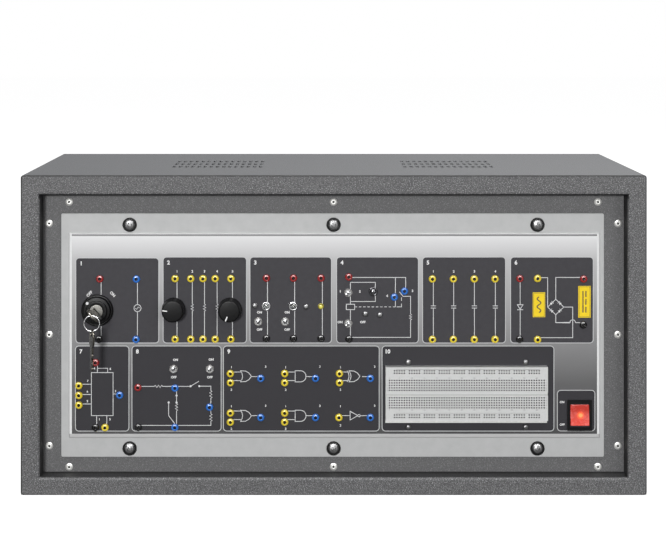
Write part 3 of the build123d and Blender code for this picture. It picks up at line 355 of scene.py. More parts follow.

# Sub-panel: 2 mm painted sheet, held against the frame's lip by twelve blind rivets of bare steel whose domed
# heads keep the hole that the mandrel left, its inside painted dark as shade.
rivet_hole = 1.05
rivet_head = [(0, -0.5), (rivet_hole, -0.5), (rivet_hole, 1.3), (2.3, 1.3), (3.2, 0.9), (3.9, 0.35), (3.9, 0),
              (1.6, 0), (1.6, -3.5), (2.4, -3.5), (2.4, -6), (0, -6.7)]
panel_middle = 158.5
fascia_face = -131.0
stack = 5.0


def seat(x, z, out=0.0, turn=0.0):
    """The place of a piece on the panel: across, up from the panel's middle, out of the fascia's face."""
    place = Matrix.Translation(Vector((x, fascia_face - out, panel_middle + z)) * mm)
    return place @ Matrix.Rotation(math.radians(90), 4, "X") @ Matrix.Rotation(math.radians(turn), 4, "Z") @ \
        Matrix.Scale(mm, 4)


def spots(name):
    """Where each separate copy in a CAD node stands on the panel, across and up, in millimetres."""
    shape = bmesh.new()
    shape.from_mesh(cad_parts[name].data)
    bmesh.ops.remove_doubles(shape, verts=shape.verts, dist=1e-6)
    waiting, found = set(shape.verts), []
    while waiting:
        island, edge_of = set(), [waiting.pop()]
        while edge_of:
            corner = edge_of.pop()
            island.add(corner)
            reached = {edge.other_vert(corner) for edge in corner.link_edges} & waiting
            waiting -= reached
            edge_of += reached
        xs, zs = [v.co.x / mm for v in island], [v.co.z / mm for v in island]
        found.append(((min(xs) + max(xs)) / 2, (min(zs) + max(zs)) / 2 - panel_middle))
    return sorted(found)


sub_paint = material_of("sub_panel_paint", powder, {
    "Ground": tint(98, 98, 99), "Dark": tint(86, 86, 87), "Fleck": tint(120, 120, 121),
    "Size": 1.2, "Roughness": 0.45}, 0.02, shine=0.25)
# Painted shadow: a dark band along the top of the sub-panel, under the frame's top lip.
toned(sub_paint, (48, 48, 49), ((-300, -140, 301.0), (300, -120, 310)))
coat(sub_paint, "sub_panel")
bare_steel = grained("bare_steel", (222, 222, 219), (184, 184, 180), 1.5, 0.36, 0.01, metallic=0.45)
rivet_spots = spots("sub_panel_rivets")
rivets = several(spin(eased(rivet_head, 0.2), 28), [seat(x, z, -stack) for x, z in rivet_spots])
rivets = finished("rivets", rivets, bare_steel, "zinc", "sub_panel_rivets")


def lined(piece, material, at, within, deepest=-99.0, highest=99.0):
    """Give the faces near the axes of a row of pieces on the panel a second material: painted shade in the
    holes of rivets and sockets, and a painted glow on the diode.
    """
    piece.data.materials.append(material)
    for face in piece.data.polygons:
        x, y, z = face.center / mm
        nearest = min(math.hypot(x - across, z - panel_middle - up) for across, up in at)
        if nearest < within and deepest < fascia_face - y < highest:
            face.material_index = 1


# Painted shade: the walls and floor of each rivet's hole are dark.
rivet_hole_shade = grained("rivet_hole_shade", (30, 29, 28), (18, 18, 17), 0.8, 0.6, metallic=0.3)
lined(rivets, rivet_hole_shade, rivet_spots, rivet_hole, -stack - 1, 1.1 - stack)

# Mounting plate: light grey enamelled sheet that carries the fascia, clamped to the sub-panel by six
# bright pan-head screws in black cup washers, with plated nuts behind.
screw_head = [(0, -13), (2.5, -13), (2.5, -1.3), (5.6, -1.3), (5.6, -0.1), (4.1, 1.2), (0, 1.8)]
cup = [(2.6, -2.5), (7.4, -2.5), (7.4, -1.7), (6.5, 0.1), (5.9, 0.1), (5.9, -1.3), (2.6, -1.3)]

coat(grained("plate_enamel", (181, 182, 182), (174, 175, 175), 14.0, 0.38, 0.02), "mounting_plate")
bright = grained("bright_plating", (222, 222, 222), (186, 186, 188), 1.6, 0.22, 0.01, metallic=1.0)
black_nylon = grained("black_nylon", (9, 9, 10), (15, 15, 16), 1.2, 0.34, 0.02, shine=0.25)
zinc = grained("zinc_plating", (186, 186, 178), (160, 160, 152), 2.5, 0.34, 0.01, metallic=1.0)
screw_spots = spots("panel_screws")
screw_turn = 20
screw_plating = grained("screw_plating", (134, 134, 134), (98, 98, 99), 1.2, 0.3, 0.01, metallic=1.0)
finished("plate_screws", several(crossed(screw_head, 2.9, 1.3, 1.6),
                                 [seat(x, z, 0, screw_turn) for x, z in screw_spots]),
         screw_plating, "bright_steel", "panel_screws")
finished("plate_cups", several(spin(eased(cup, 0.4), 40), [seat(x, z) for x, z in screw_spots]),
         black_nylon, "black_moulded", "cup_washers")
coat(zinc, "panel_nuts")

# Fascia: 2.5 mm sheet with a bevelled edge, screen printed in a grey that darkens downwards inside an
# unprinted light border, then in dark fields with light outlines, circuit symbols and numerals.
print_left, print_right, print_bottom, print_top = -267.7, 269.4, -100.5, 101.7
ground_reach = 101
ground_tones = [(-101, 50), (-86, 68), (-50, 80), (-24, 110), (-0.5, 131),
                (77, 181), (85, 196), (98, 217), (101, 224)]
field_corner = 3.5
outline_width = 0.7
wire_width = 0.65
fine_width = 0.45
lock_hole_radius = 10.0
fields = [(-263.6, -178.8, 79.3, -7.6), (-174.3, -89.1, 80.2, -7.6), (-85.5, -2.2, 80.2, -7.6),
          (3.1, 86.7, 80.2, -7.6), (91.0, 175.8, 80.2, -7.6), (181.0, 265.5, 80.2, -7.6),
          (-264.0, -209.3, -10.7, -97.7), (-206.2, -115.0, -10.7, -97.7), (-112.7, 46.6, -10.7, -97.7),
          (49.6, 225.3, -10.7, -97.7), (228.8, 267.2, -56.0, -97.6)]

fascia_print = grained("fascia_print", (226, 227, 227), (220, 221, 221), 3.0, 0.36, 0.01)
tree = fascia_print.node_tree
height = node(tree, "SeparateXYZ", {0: node(tree, "TexCoord", {}).outputs["Object"]}).outputs["Z"]
level = node(tree, "MapRange", {"Value": height, "From Min": (panel_middle - ground_reach) * mm,
                                "From Max": (panel_middle + ground_reach) * mm})
ramp = node(tree, "ValToRGB", {0: level.outputs[0]})
ramp.color_ramp.elements.remove(ramp.color_ramp.elements[1])
for step, (z, tone) in enumerate(ground_tones):
    along = (z + ground_reach) / (2 * ground_reach)
    stop = ramp.color_ramp.elements[0] if step == 0 else ramp.color_ramp.elements.new(along)
    stop.position = along
    stop.color = tint(tone, tone, tone + 1)
printed = node(tree, "Group", {"Low": (print_left * mm, -1, (panel_middle + print_bottom) * mm),
                               "High": (print_right * mm, 1, (panel_middle + print_top) * mm)},
               node_tree=inside)
bare = tree.nodes["Group"].outputs["Color"]
shader = tree.nodes["Principled BSDF"]
tree.links.new(between(tree, printed.outputs["Mask"], bare, ramp.outputs[0]), shader.inputs["Base Color"])
# Painted shade: a dark line along the top edge of the print as a shadow line, and a darker unprinted border
# below the print than above it.
toned(fascia_print, (122, 122, 123), ((print_left, -200, panel_middle + print_top),
                                      (print_right, 0, panel_middle + print_top + 1.8)))
toned(fascia_print, (180, 180, 180),((-300, -200, 0), (300, 0, panel_middle + print_bottom)))
coat(fascia_print, "printed_fascia")


def prism(shape, outline, low, high):
    """A flat patch of ink or film over an outline, from low to high above the face."""
    base = [shape.verts.new((x, z, low)) for x, z in outline]
    top = [shape.verts.new((x, z, high)) for x, z in outline]
    shape.faces.new(base)
    shape.faces.new(top)
    for i in range(len(outline)):
        shape.faces.new([base[i - 1], base[i], top[i], top[i - 1]])


def strip(shape, points, width, low=0.04, high=0.08, closed=False):
    """A line of ink along points, mitred at its corners."""
    points = [Vector(point) for point in points]
    bars = []
    for i, point in enumerate(points):
        back = point - points[i - 1] if closed or i else points[1] - point
        on = points[(i + 1) % len(points)] - point if closed or i < len(points) - 1 else back
        back, on = back.normalized(), on.normalized()
        side = Vector((-back.y - on.y, back.x + on.x))
        side *= width / max(side.length_squared, 0.6)
        ends = (point + side, point - side)
        bars.append([shape.verts.new((*end, h)) for end, h in zip(ends + ends[::-1], (low, low, high, high))])
    for bar, beyond in zip(bars, bars[1:] + bars[:1] if closed else bars[1:]):
        for i in range(4):
            shape.faces.new([bar[i], bar[i - 1], beyond[i - 1], beyond[i]])
    if not closed:
        shape.faces.new(bars[0])
        shape.faces.new(bars[-1])


def arc(x, z, radius, start=0, end=360, steps=24):
    """Points round a centre, from one angle to another, in degrees."""
    turns = [math.radians(start + (end - start) * i / steps) for i in range(steps + (end - start < 360))]
    return [(x + radius * math.cos(turn), z + radius * math.sin(turn)) for turn in turns]


def rounded(left, right, top, bottom, radius):
    """The outline of a field with round corners."""
    return (arc(right - radius, top - radius, radius, 0, 90, 6)
            + arc(left + radius, top - radius, radius, 90, 180, 6)
            + arc(left + radius, bottom + radius, radius, 180, 270, 6)
            + arc(right - radius, bottom + radius, radius, 270, 360, 6)[:-1] + [(right, bottom + radius)])


def lettering(shape, text, x, z, size, turn=0, height=0.06, heavy=0.03):
    """Numerals centred on a point, in a plain sans face, that stand as high above the face as ink."""
    curve = bpy.data.curves.new("lettering", "FONT")
    curve.body, curve.size, curve.align_x, curve.align_y = text, size, "CENTER", "CENTER"
    curve.extrude, curve.offset, curve.resolution_u = 0.02, heavy * size, 3
    glyphs = bpy.data.objects.new("lettering", curve)
    mesh = bpy.data.meshes.new_from_object(glyphs)
    start = len(shape.verts)
    shape.from_mesh(mesh)
    shape.verts.ensure_lookup_table()
    place = Matrix.Translation((x, z, height)) @ Matrix.Rotation(math.radians(turn), 4, "Z")
    bmesh.ops.transform(shape, matrix=place, verts=shape.verts[start:])
    bpy.data.objects.remove(glyphs)
    bpy.data.curves.remove(curve)
    bpy.data.meshes.remove(mesh)


def on_face(shape):
    """Turn a shape drawn on the panel, in millimetres, into its place in the cabinet."""
    bmesh.ops.transform(shape, matrix=seat(0, 0), verts=shape.verts)
    return shape


def zigzag(x, high, low, reach=1.25, teeth=5):
    """The points of a resistor symbol down a column."""
    pitch = (high - low) / teeth
    steps = [(x + reach * (-1) ** i, high - (i + 0.5) * pitch) for i in range(teeth)]
    return [(x, high)] + steps + [(x, low)]


def lying(points):
    """The points of an upright symbol, laid along a row."""
    return [(z, x) for x, z in points]


dark_ink = grained("dark_ink", (57, 56, 60), (62, 61, 65), 5.0, 0.5, 0.01, shine=0.15)
# Painted shade: the dark fields below the middle of the fascia are darker than those above.
toned(dark_ink, (49, 48, 52), ((-300, -200, 0), (300, 0, panel_middle - 9)))
outline_tone = grained("outline_ink", (198, 199, 200), (190, 191, 192), 2.0, 0.4, 0.01)
light_ink = grained("circuit_ink", (218, 219, 220), (208, 209, 210), 2.0, 0.4, 0.01)
white_ink = grained("white_ink", (238, 238, 238), (228, 228, 228), 2.0, 0.4, 0.01)

field_ink = bmesh.new()
outline_ink = bmesh.new()
for field in fields:
    prism(field_ink, rounded(*field, field_corner), 0.0, 0.04)
    strip(outline_ink, rounded(*field, field_corner), outline_width, closed=True)
bmesh.ops.recalc_face_normals(field_ink, faces=field_ink.faces)
lock_hole = spin([(0, -1), (lock_hole_radius, -1), (lock_hole_radius, 1), (0, 1)], 48)
bmesh.ops.translate(lock_hole, vec=(*spots("key_switch_bezel")[0], 0), verts=lock_hole.verts)
finished("printed_fields", on_face(cut(field_ink, lock_hole)), dark_ink, "fascia_print")
finished("printed_outlines", on_face(outline_ink), outline_tone, "fascia_print")

wires = [
    [(-237.7, 55), (-237.7, 0)], [(-200.6, 55), (-200.6, 31.6)], [(-200.6, 24.4), (-200.6, 0)],
    [(18.8, 59.4), (73.7, 59.4), (73.7, 46.6)], [(63.2, 59.4), (63.2, 29.4)],
    [(17.2, 54.4), (42.7, 54.4), (42.7, 34.8), (17.2, 34.8)], [(17.2, 54.4), (17.2, 32)],
    [(17.2, 26.5), (17.2, -2)],
    [(67.4, 44.7), (71.0, 40.1), (78.7, 40.1), (78.7, 22.0)], [(78.7, 15.9), (78.7, -1.9), (19.1, -1.9)],
    [(210.1, 59.2), (218.9, 59.2), (218.9, 29.1)], [(227.2, 37.1), (227.2, 59.4), (252, 59.4)],
    [(235.4, 29.1), (244.5, 29.1), (244.5, -2.2), (211.1, -2.2)],
    [(227.2, 21.3), (227.2, 13.2), (241.6, 13.2)] + arc(244.5, 13.2, 2.9, 180, 0, 8) + [(255.1, 13.2)],
    [(190.8, 56), (190.8, 31.5)], [(190.8, 26.4), (190.8, -1)], [(187.7, 26.4), (193.9, 26.4)],
    [(-241.5, -30.1), (-241.5, -37.9)], [(-241.5, -33.5), (-231, -33.5), (-231, -37.9)],
    [(-225.5, -59.8), (-221, -59.8)], [(-242.3, -81.9), (-242.3, -91)], [(-231.9, -81.9), (-231.9, -91)],
    [(-197, -52), (-183.3, -52)], [(-174.9, -52), (-146.2, -52)],
    [(-146.2, -51.8), (-137.8, -46.8)],
    [(-137.3, -51.8), (-125.5, -51.8), (-125.5, -56.3)], [(-125.5, -64), (-125.5, -70)],
    [(-125.5, -76), (-125.5, -80)], [(-125.5, -87.7), (-125.5, -91.9), (-196.5, -91.9)],
    [(-160.6, -55), (-160.6, -69.5)], [(-160.6, -77), (-160.6, -91.9)],
    [(-168.7, -68.5), (-168.7, -81.9), (-162.3, -90.3)],
]
wires += [[(x, 55), (x, -1)] for x in (-160.1, -103.4, -67.6, -39.8, -11.5)]
wires += [[(x, start), (x, end)] for x in (-144.5, -132.0, -119.1) for start, end in ((55, 32.2), (25.1, -1))]
resistors = [zigzag(x, 32.2, 25.1) for x in (-144.5, -132.0, -119.1)]
resistors += [zigzag(78.7, 22.0, 15.9), zigzag(-125.5, -56.3, -64), zigzag(-125.5, -80, -87.7),
              zigzag(-160.6, -69.5, -77), lying(zigzag(-52, -183.3, -174.9))]
for x in (102.0, 122.8, 144.0, 165.4):
    wires += [[(x, 55), (x, 30.3)], [(x, 28.1), (x, -1)], [(x - 2.6, 30.3), (x + 2.6, 30.3)],
              [(x - 2.6, 28.1), (x + 2.6, 28.1)]]
wires += [[(-258, z), (-247.7, z)] for z in (-49.8, -60.3, -70)]
for z in (-42, -81.9):
    wires += [[(x, z), (x + 9, z)] for x in (-84, -28.2, 27 if z < -50 else 29.1)]
    for side in (4.7, -4.1):
        wires += [[(x, z + side), (x + 9.5, z + side)] for x in (-103.5, -48.5, 7.5)[:3 if z > -50 else 2]]
wires += [[(7, -81.9), (16.9, -81.9)], [(69.4, 35.5), (69.4, 39)], [(64.6, 29.3), (69.4, 29.3), (69.4, 32.6)]]
wires += [[(21.5 + 4.35 * i, 29.3), (24.0 + 4.35 * i, 29.3)] for i in range(10)]
outlines = [[(13.0, 32.0), (21.5, 32.0), (21.5, 26.5), (13.0, 26.5)], arc(-200.5, 28, 3.6),
            [(218.9, 29.1), (227.2, 37.1), (235.4, 29.1), (227.2, 21.3)],
            [(-247.7, -37.9), (-225.5, -37.9), (-225.5, -81.9), (-247.7, -81.9)],
            [(187.9, 31.5), (193.7, 31.5), (190.8, 26.9)], [(16.9, -77.5), (16.9, -86.4), (24.7, -81.9)],
            arc(26.0, -81.9, 1.2)]
for x, z in ((-95.1, -41.7), (15.8, -41.7), (-95.1, -82.1)):
    outlines.append([(x, z + 5.7), (x + 5, z + 5.4), (x + 8.6, z + 3.4), (x + 11.1, z), (x + 8.6, z - 3.4),
                     (x + 5, z - 5.4), (x, z - 5.7), (x + 1.5, z - 2.8), (x + 2, z), (x + 1.5, z + 2.8)])
wires.append([(13.8, -36), (15.3, -38.9), (15.8, -41.7), (15.3, -44.5), (13.8, -47.4)])
for z in (-41.7, -82.1):
    outlines.append([(-39.3, z + 5.7), (-33.9, z + 5.7)] + arc(-33.9, z, 5.7, 90, -90, 10)[1:-1]
                    + [(-33.9, z - 5.7), (-39.3, z - 5.7)])
wire_ink = bmesh.new()
for path in wires:
    strip(wire_ink, path, wire_width)
for path in outlines:
    strip(wire_ink, path, wire_width, closed=True)
for path in resistors + [[(-200.5 + 0.35 * i, 28 + 1.1 * math.sin(math.tau * i / 12)) for i in range(-6, 7)]]:
    strip(wire_ink, path, fine_width)
for x, z in ((-146.2, -51.8), (-137.3, -51.8), (-160.6, -61.4), (-160.6, -68.5), (-168.7, -68.5)):
    prism(wire_ink, arc(x, z, 1.1, steps=16), 0.04, 0.085)
for start, end in (((218.9, 29.1), (227.2, 37.1)), ((235.4, 29.1), (227.2, 37.1)),
                   ((227.2, 21.3), (218.9, 29.1)), ((227.2, 21.3), (235.4, 29.1))):
    start, end = Vector(start), Vector(end)
    along = (end - start).normalized()
    across = Vector((-along.y, along.x))
    tip = (start + end) / 2 + along * 1.3
    prism(wire_ink, [tip, tip - along * 2.6 + across * 1.5, tip - along * 2.6 - across * 1.5], 0.04, 0.085)
    strip(wire_ink, [tip - across * 1.7, tip + across * 1.7], fine_width)
finished("printed_circuits", on_face(wire_ink), light_ink, "fascia_print")

numerals = bmesh.new()
for number, (left, right, top, bottom) in enumerate(fields[:10], 1):
    lettering(numerals, str(number), left + 5.5, top - 5.8, 5.6, heavy=0.04)
for places, row in (((-160.1, -144.5, -132.0, -119.1, -103.4), 65.5), ((102.0, 122.8, 144.0, 165.4), 65.5)):
    for number, x in enumerate(places, 1):
        lettering(numerals, str(number), x, row, 3.4)
for x, z, text in ((-251.5, -46.6, "7"), (-251.7, -57.4, "6"), (-251.7, -67.2, "2"), (-223, -57.1, "3"),
                   (-239.5, -85.8, "1"), (-228.7, -85.8, "5"), (-244.6, -33.7, "4"), (-228.3, -34.3, "8")):
    lettering(numerals, text, x, z, 3.0)
for x, z in ((-75.8, 23.6), (-47.5, 23.6), (-161.6, -25.0), (-125.2, -24.6), (6.6, 13.6)):
    lettering(numerals, "ON", x, z, 3.2, heavy=0.04)
for x, z in ((-75.8, 5.9), (-47.5, 5.9), (-163.5, -42.7), (-126.5, -42.7), (29.9, 13.6)):
    lettering(numerals, "OFF", x, z, 3.2, heavy=0.04)
for x, z, text in ((6.8, 45.0, "1"), (26.8, 45.0, "2"), (80.7, 45.5, "3"), (54.7, 40.4, "4")):
    lettering(numerals, text, x, z, 3.2, heavy=0.04)
for column, x in enumerate((-105.5, -50.0, 6.0)):
    for row, z in enumerate((-32.5, -72.5)):
        lettering(numerals, "1", x + 1, z, 3.0)
        lettering(numerals, "2", x + 1, z - 23 if column < 2 or row == 0 else z - 19.5, 3.0)
        lettering(numerals, "3", x + 36, z + 0.6, 3.0)
for x, z, text, turn, size in ((-249.5, 42.5, "OFF", 45, 4.0), (-226, 42.2, "ON", -45, 4.0),
                               (233.6, -68.2, "ON", 0, 3.0), (233.8, -91.2, "OFF", 0, 3.0)):
    lettering(numerals, text, x, z, size, turn)
finished("printed_numerals", on_face(numerals), white_ink, "fascia_print")

# Sockets: 2 mm sockets with a moulded collar in one of four colours, a brass contact, and a plated nut behind
# the plate. The countersunk mouth and bore of each collar and the front of each contact are painted near
# black as shade inside the hole.
socket_body = [(1.0, 2.2), (1.5, 3.1), (1.75, 3.2), (2.2, 3.15), (3.1, 2.6), (3.8, 1.5), (3.8, 0), (2.4, 0),
               (2.4, -10), (1.55, -10), (1.55, 2.2)]
collar_tones = {"red": ((168, 46, 45), (150, 36, 37)), "blue": ((50, 124, 216), (40, 110, 202)),
                "yellow": ((244, 220, 66), (236, 208, 44)), "black": ((5, 5, 6), (8, 8, 9))}
spots_of = {color: spots(f"jack_bodies_{color}") for color in collar_tones}
brass = grained("brass", (150, 108, 48), (118, 82, 36), 1.0, 0.38, 0.01, metallic=1.0)
# Painted shade: the front of each contact, and the mouth and bore of each collar, are near black for the
# shade in the hole.
toned(brass, (9, 8, 7), ((-300, -140, 0), (300, -110, 324)))
socket_mouth_shade = grained("socket_mouth_painted_shade", (18, 11, 7), (11, 7, 4), 0.8, 0.5, 0.01, shine=0.1)
for color, tones in collar_tones.items():
    collar = grained(f"{color}_moulding", *tones, 1.5, 0.2, 0.015, shine=0.6)
    places = [seat(x, z) for x, z in spots_of[color]]
    slot = "black_gloss" if color == "black" else f"{color}_moulded"
    sockets = finished(f"sockets_{color}", several(spin(eased(socket_body, 0.2), 28), places), collar, slot,
                       f"jack_bodies_{color}")
    lined(sockets, socket_mouth_shade, spots_of[color], 1.66)
coat(brass, "jack_contacts")
coat(zinc, "jack_nuts")

# Key switch: a fixed ring and body of black moulding, and a stepped collar that turns in it round a
# bright die-cast lock. A filled white dot on the collar points at OFF or ON.
key_x, key_z = -241.5, 26.0
switch_ring = [(11.1, 0), (16.2, 0), (16.2, 4), (15.2, 5), (14.2, 5), (14.2, 1.2), (11.1, 1.2)]
turning_collar = [(7.25, -15), (8.5, -15), (8.5, 2.6), (13.9, 2.6), (13.9, 7.5), (13.4, 8), (10.8, 8),
                  (10.8, 9.9), (10.2, 10.5), (7.25, 10.5)]
lock_core = [(0, -15), (7.2, -15), (7.2, 11.5), (6.7, 12), (0, 12)]
dot_distance, dot_turn, dot_radius = 12.35, 140, 1.5
keyway_turn = -45

black_moulding = grained("black_moulding", (5, 5, 6), (8, 8, 9), 1.0, 0.26, 0.02, shine=0.16)
lock_metal = grained("machined_zinc", (112, 111, 108), (70, 69, 66), 1.1, 0.34, 0.03, metallic=1.0)
switch_seat = seat(key_x, key_z)
finished("key_switch_ring", several(spin(eased(switch_ring, 0.4), 72), [switch_seat]), black_moulding,
         "black_moulded", "key_switch_bezel")
dot_at = (dot_distance * math.cos(math.radians(dot_turn)), dot_distance * math.sin(math.radians(dot_turn)), 0)
recess = spin([(0, 7.75), (dot_radius, 7.75), (dot_radius, 9), (0, 9)], 24)
bmesh.ops.translate(recess, vec=dot_at, verts=recess.verts)
collar = cut(spin(eased(turning_collar, 0.35), 72), recess)
finished("key_switch_turning_collar", several(collar, [switch_seat]), black_moulding, "black_moulded",
         "key_switch_collar", body="key_switch_rotor")
dot = spin(eased([(0, 7.75), (1.45, 7.75), (1.45, 8.0), (0, 8.0)], 0.08), 24)
bmesh.ops.translate(dot, vec=dot_at, verts=dot.verts)
finished("key_switch_dot", several(dot, [switch_seat]), white_ink, "black_moulded", body="key_switch_rotor")
keyway = tapered(8.4, 2.6, -13.0, 13.0)
bmesh.ops.rotate(keyway, cent=(0, 0, 0), matrix=Matrix.Rotation(math.radians(keyway_turn), 3, "Z"),
                 verts=keyway.verts)
lock = cut(spin(eased(lock_core, 0.4), 56), keyway)
finished("lock_core", several(lock, [switch_seat]), lock_metal, "lock_metal", "key_lock_barrel",
         body="key_switch_rotor")
coat(black_moulding, "key_switch_body")
coat(zinc, "key_switch_nut")

# Keys: two flat keys of nickel-plated brass, one in the lock and one spare, on a split ring of bright spring
# wire. The bows are stamped with rounded edges, and the spare key is a darker copy of the same nickel as
# painted shade.
key_metal = grained("worn_nickel", (158, 155, 147), (96, 93, 87), 1.8, 0.2, 0.03, metallic=1.0)
nickel_painted_shade = grained("nickel_painted_shade", (104, 100, 93), (58, 55, 51), 1.8, 0.18, 0.03, metallic=1.0)
coat(key_metal, "ignition_key")
coat(nickel_painted_shade, "spare_key")
for name in ("ignition_key", "spare_key"):
    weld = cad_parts[name].modifiers.new("weld", "WELD")
    weld.merge_threshold = 1e-6
    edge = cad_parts[name].modifiers.new("stamped edge", "BEVEL")
    edge.width = 0.25 * mm
    edge.segments = 2
    edge.limit_method = "ANGLE"
ring_wire = bmesh.new()
low_corner, high_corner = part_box("key_ring")
ring_middle = (low_corner + high_corner) / 2
wire, loop = (high_corner.y - low_corner.y) / 2, (high_corner.x - low_corner.x) / 2
circles = []
for i in range(72):
    turn = math.tau * i / 72
    centre = Vector((math.cos(turn), 0, math.sin(turn)))
    circles.append([ring_wire.verts.new(ring_middle + centre * (loop - wire + wire * math.cos(around))
                                        + Vector((0, wire * math.sin(around), 0)))
                    for around in [math.tau * j / 14 for j in range(14)]])
for circle, beyond in zip(circles, circles[1:] + circles[:1]):
    for j in range(14):
        ring_wire.faces.new([circle[j - 1], circle[j], beyond[j], beyond[j - 1]])
finished("split_ring", ring_wire, bright, "bright_steel", "key_ring", body="ring", crease=60)

# Potentiometers: plated case and bushing behind the plate, and a black phenolic knob pushed on each
# shaft, with fine flutes round its skirt and a white line let into its face.
knob_turned = [(6.8, 1), (12, 1), (12, 2.6), (11.85, 3.4), (11.0, 16.6), (10.9, 17.6), (10.0, 18.5),
               (0, 18.5), (0, 14.0), (3.05, 14.0), (3.05, 5.2), (6.8, 5.2)]
flutes, flute_depth = 30, 0.28
knobs = {"log": (-163.5, 27.0, 173.0), "lin": (-106.0, 27.0, 248.5)}
phenolic = grained("black_phenolic", (8, 8, 9), (12, 12, 13), 1.4, 0.28, 0.02, shine=0.14)
for name, (x, z, pointer) in knobs.items():
    knob = spin(eased(knob_turned, 0.45), 180)
    for corner in knob.verts:
        out = Vector((corner.co.x, corner.co.y)).length
        if out > 9.5 and 3.2 < corner.co.z < 16.9:
            around = math.atan2(corner.co.y, corner.co.x)
            dip = 1 - flute_depth * (0.5 + 0.5 * math.cos(flutes * around)) / out
            corner.co = (corner.co.x * dip, corner.co.y * dip, corner.co.z)
    groove = tapered(5.0, 1.3, 18.2, 19.0)
    bmesh.ops.translate(groove, vec=(7.8, 0, 0), verts=groove.verts)
    knob = several(cut(knob, groove), [seat(x, z, 0, pointer)])
    finished(f"knob_{name}_moulding", knob, phenolic, "black_moulded", f"knob_{name}", body=f"{name}_control")
    line = tapered(4.9, 1.2, 18.2, 18.46)
    bmesh.ops.translate(line, vec=(7.8, 0, 0), verts=line.verts)
    finished(f"knob_{name}_line", several(line, [seat(x, z, 0, pointer)]), white_ink, "black_moulded",
             body=f"{name}_control")
coat(zinc, "pot_bodies", "pot_nuts", "pot_shaft_log", "pot_shaft_lin")

# Toggle switches: chromed bat levers on a ball in a threaded bushing, held by a thin hexagon nut. The
# black cases are behind the plate.
toggles = {"lamp_1": (-77.0, 14.5, 90), "lamp_2": (-49.5, 14.5, 90), "relay_top": (15.0, 44.0, 180),
           "relay_bottom": (15.0, 12.5, 180), "divider_1": (-163.5, -34.0, 90),
           "divider_2": (-126.5, -34.0, 90)}
lever_lean, lever_lift = 12.5, 2.6
bat = [(0, -4.4), (0.8, -4.4), (0.8, -1.95)]
bat += [(2.1 * math.cos(math.radians(t)), 2.1 * math.sin(math.radians(t))) for t in range(-60, 61, 12)]
bat += [(1.05, 2.3), (1.15, 4.0), (1.5, 10.0), (1.48, 11.0), (1.2, 11.8), (0.7, 12.13), (0, 12.2)]


def nut(across, low, high, bore):
    """A hexagon nut with chamfered corners and a plain hole."""
    flat = across / 2
    levels = [(low, 0.35), (low + 0.3, 1.0), (high - 0.3, 1.0), (high, 0.35)]
    shape = bmesh.new()
    loops = []
    for height, full in levels:
        limit = flat + (flat * 0.1547) * full + 0.02
        loop = []
        for i in range(72):
            turn = math.tau * i / 72
            edge = flat / math.cos((turn + math.pi / 6) % (math.pi / 3) - math.pi / 6)
            loop.append((min(edge, limit) * math.cos(turn), min(edge, limit) * math.sin(turn), height))
        loops.append([shape.verts.new(point) for point in loop])
    for height in (high, low):
        turns = [math.tau * i / 72 for i in range(72)]
        loops.append([shape.verts.new((bore * math.cos(a), bore * math.sin(a), height)) for a in turns])
    for loop, beyond in zip(loops, loops[1:] + loops[:1]):
        for i in range(72):
            shape.faces.new([loop[i - 1], loop[i], beyond[i], beyond[i - 1]])
    return shape


thread = [(2.2, -5), (3.0, -5), (3.0, 1.9)]
for i in range(5):
    thread += [(3.0, 2.0 + i * 0.5), (2.75, 2.25 + i * 0.5)]
thread += [(2.85, 4.45), (2.7, 4.6), (2.2, 4.6)]
toggle_places = [(x, z) for x, z, lean in toggles.values()]
finished("toggle_threads", several(spin(thread, 32), [seat(x, z) for x, z in toggle_places]), bright,
         "bright_steel", "toggle_bushings")
nut_plating = grained("nut_plating", (160, 159, 157), (112, 111, 109), 1.6, 0.2, 0.01, metallic=1.0)
finished("toggle_hexagons", several(nut(8.0, 0, 2.0, 3.02), [seat(x, z, 0, 12 * i) for i, (x, z) in
                                                             enumerate(toggle_places)]),
         nut_plating, "bright_steel", "toggle_nuts")
for name, (x, z, lean) in toggles.items():
    place = seat(x, z, lever_lift, lean) @ Matrix.Rotation(math.radians(lever_lean), 4, "Y")
    finished(f"bat_{name}", several(spin(bat, 28), [place]), bright, "bright_steel", f"toggle_lever_{name}",
             body=f"lever_{name}", crease=50)
coat(grained("switch_case", (30, 30, 31), (40, 40, 41), 2.0, 0.5), "toggle_cases")

# Push button and lamps: plated rings with a domed black cap, two clear lenses over a filament bulb,
# and a yellow diode lamp with its flange, all set into the fascia.
small_ring = [(0, -12), (4, -12), (4, 0), (4.65, 0), (4.65, 1.2), (4.1, 1.8), (3.3, 1.8), (3.3, -1.5),
              (2.45, -1.5), (2.45, -11), (0, -11)]
button_ring = [(0, -12), (4, -12), (4, 0), (4.65, 0), (4.65, 1.3), (4.15, 1.8), (3.1, 1.8), (3.1, -11),
               (0, -11)]
button_x, button_z = 40.5, 45.0
diode_x, diode_z = -13.0, 30.0
dark_chrome = grained("dark_chrome", (92, 92, 94), (70, 70, 72), 1.2, 0.14, 0.005, metallic=1.0)
finished("button_ring", several(spin(eased(button_ring, 0.3), 40), [seat(button_x, button_z)]), dark_chrome,
         "bright_steel", "push_button_bezel")
cap = spin(eased([(0, -8), (3, -8), (3, 3.0), (2.6, 4.1), (1.5, 4.58), (0, 4.6)], 0.4), 36)
black_cap = grained("button_cap", (120, 120, 123), (84, 84, 86), 1.0, 0.12, 0.01, metallic=1.0)
finished("button_cap", several(cap, [seat(button_x, button_z)]), black_cap, "black_gloss", "push_button_cap",
         body="push_button", crease=60)
lamp_seats = [seat(x, z) for x, z in spots("lamp_bezels")]
lamp_plating = grained("lamp_plating", (186, 186, 186), (150, 150, 152), 1.4, 0.2, 0.01, metallic=1.0)
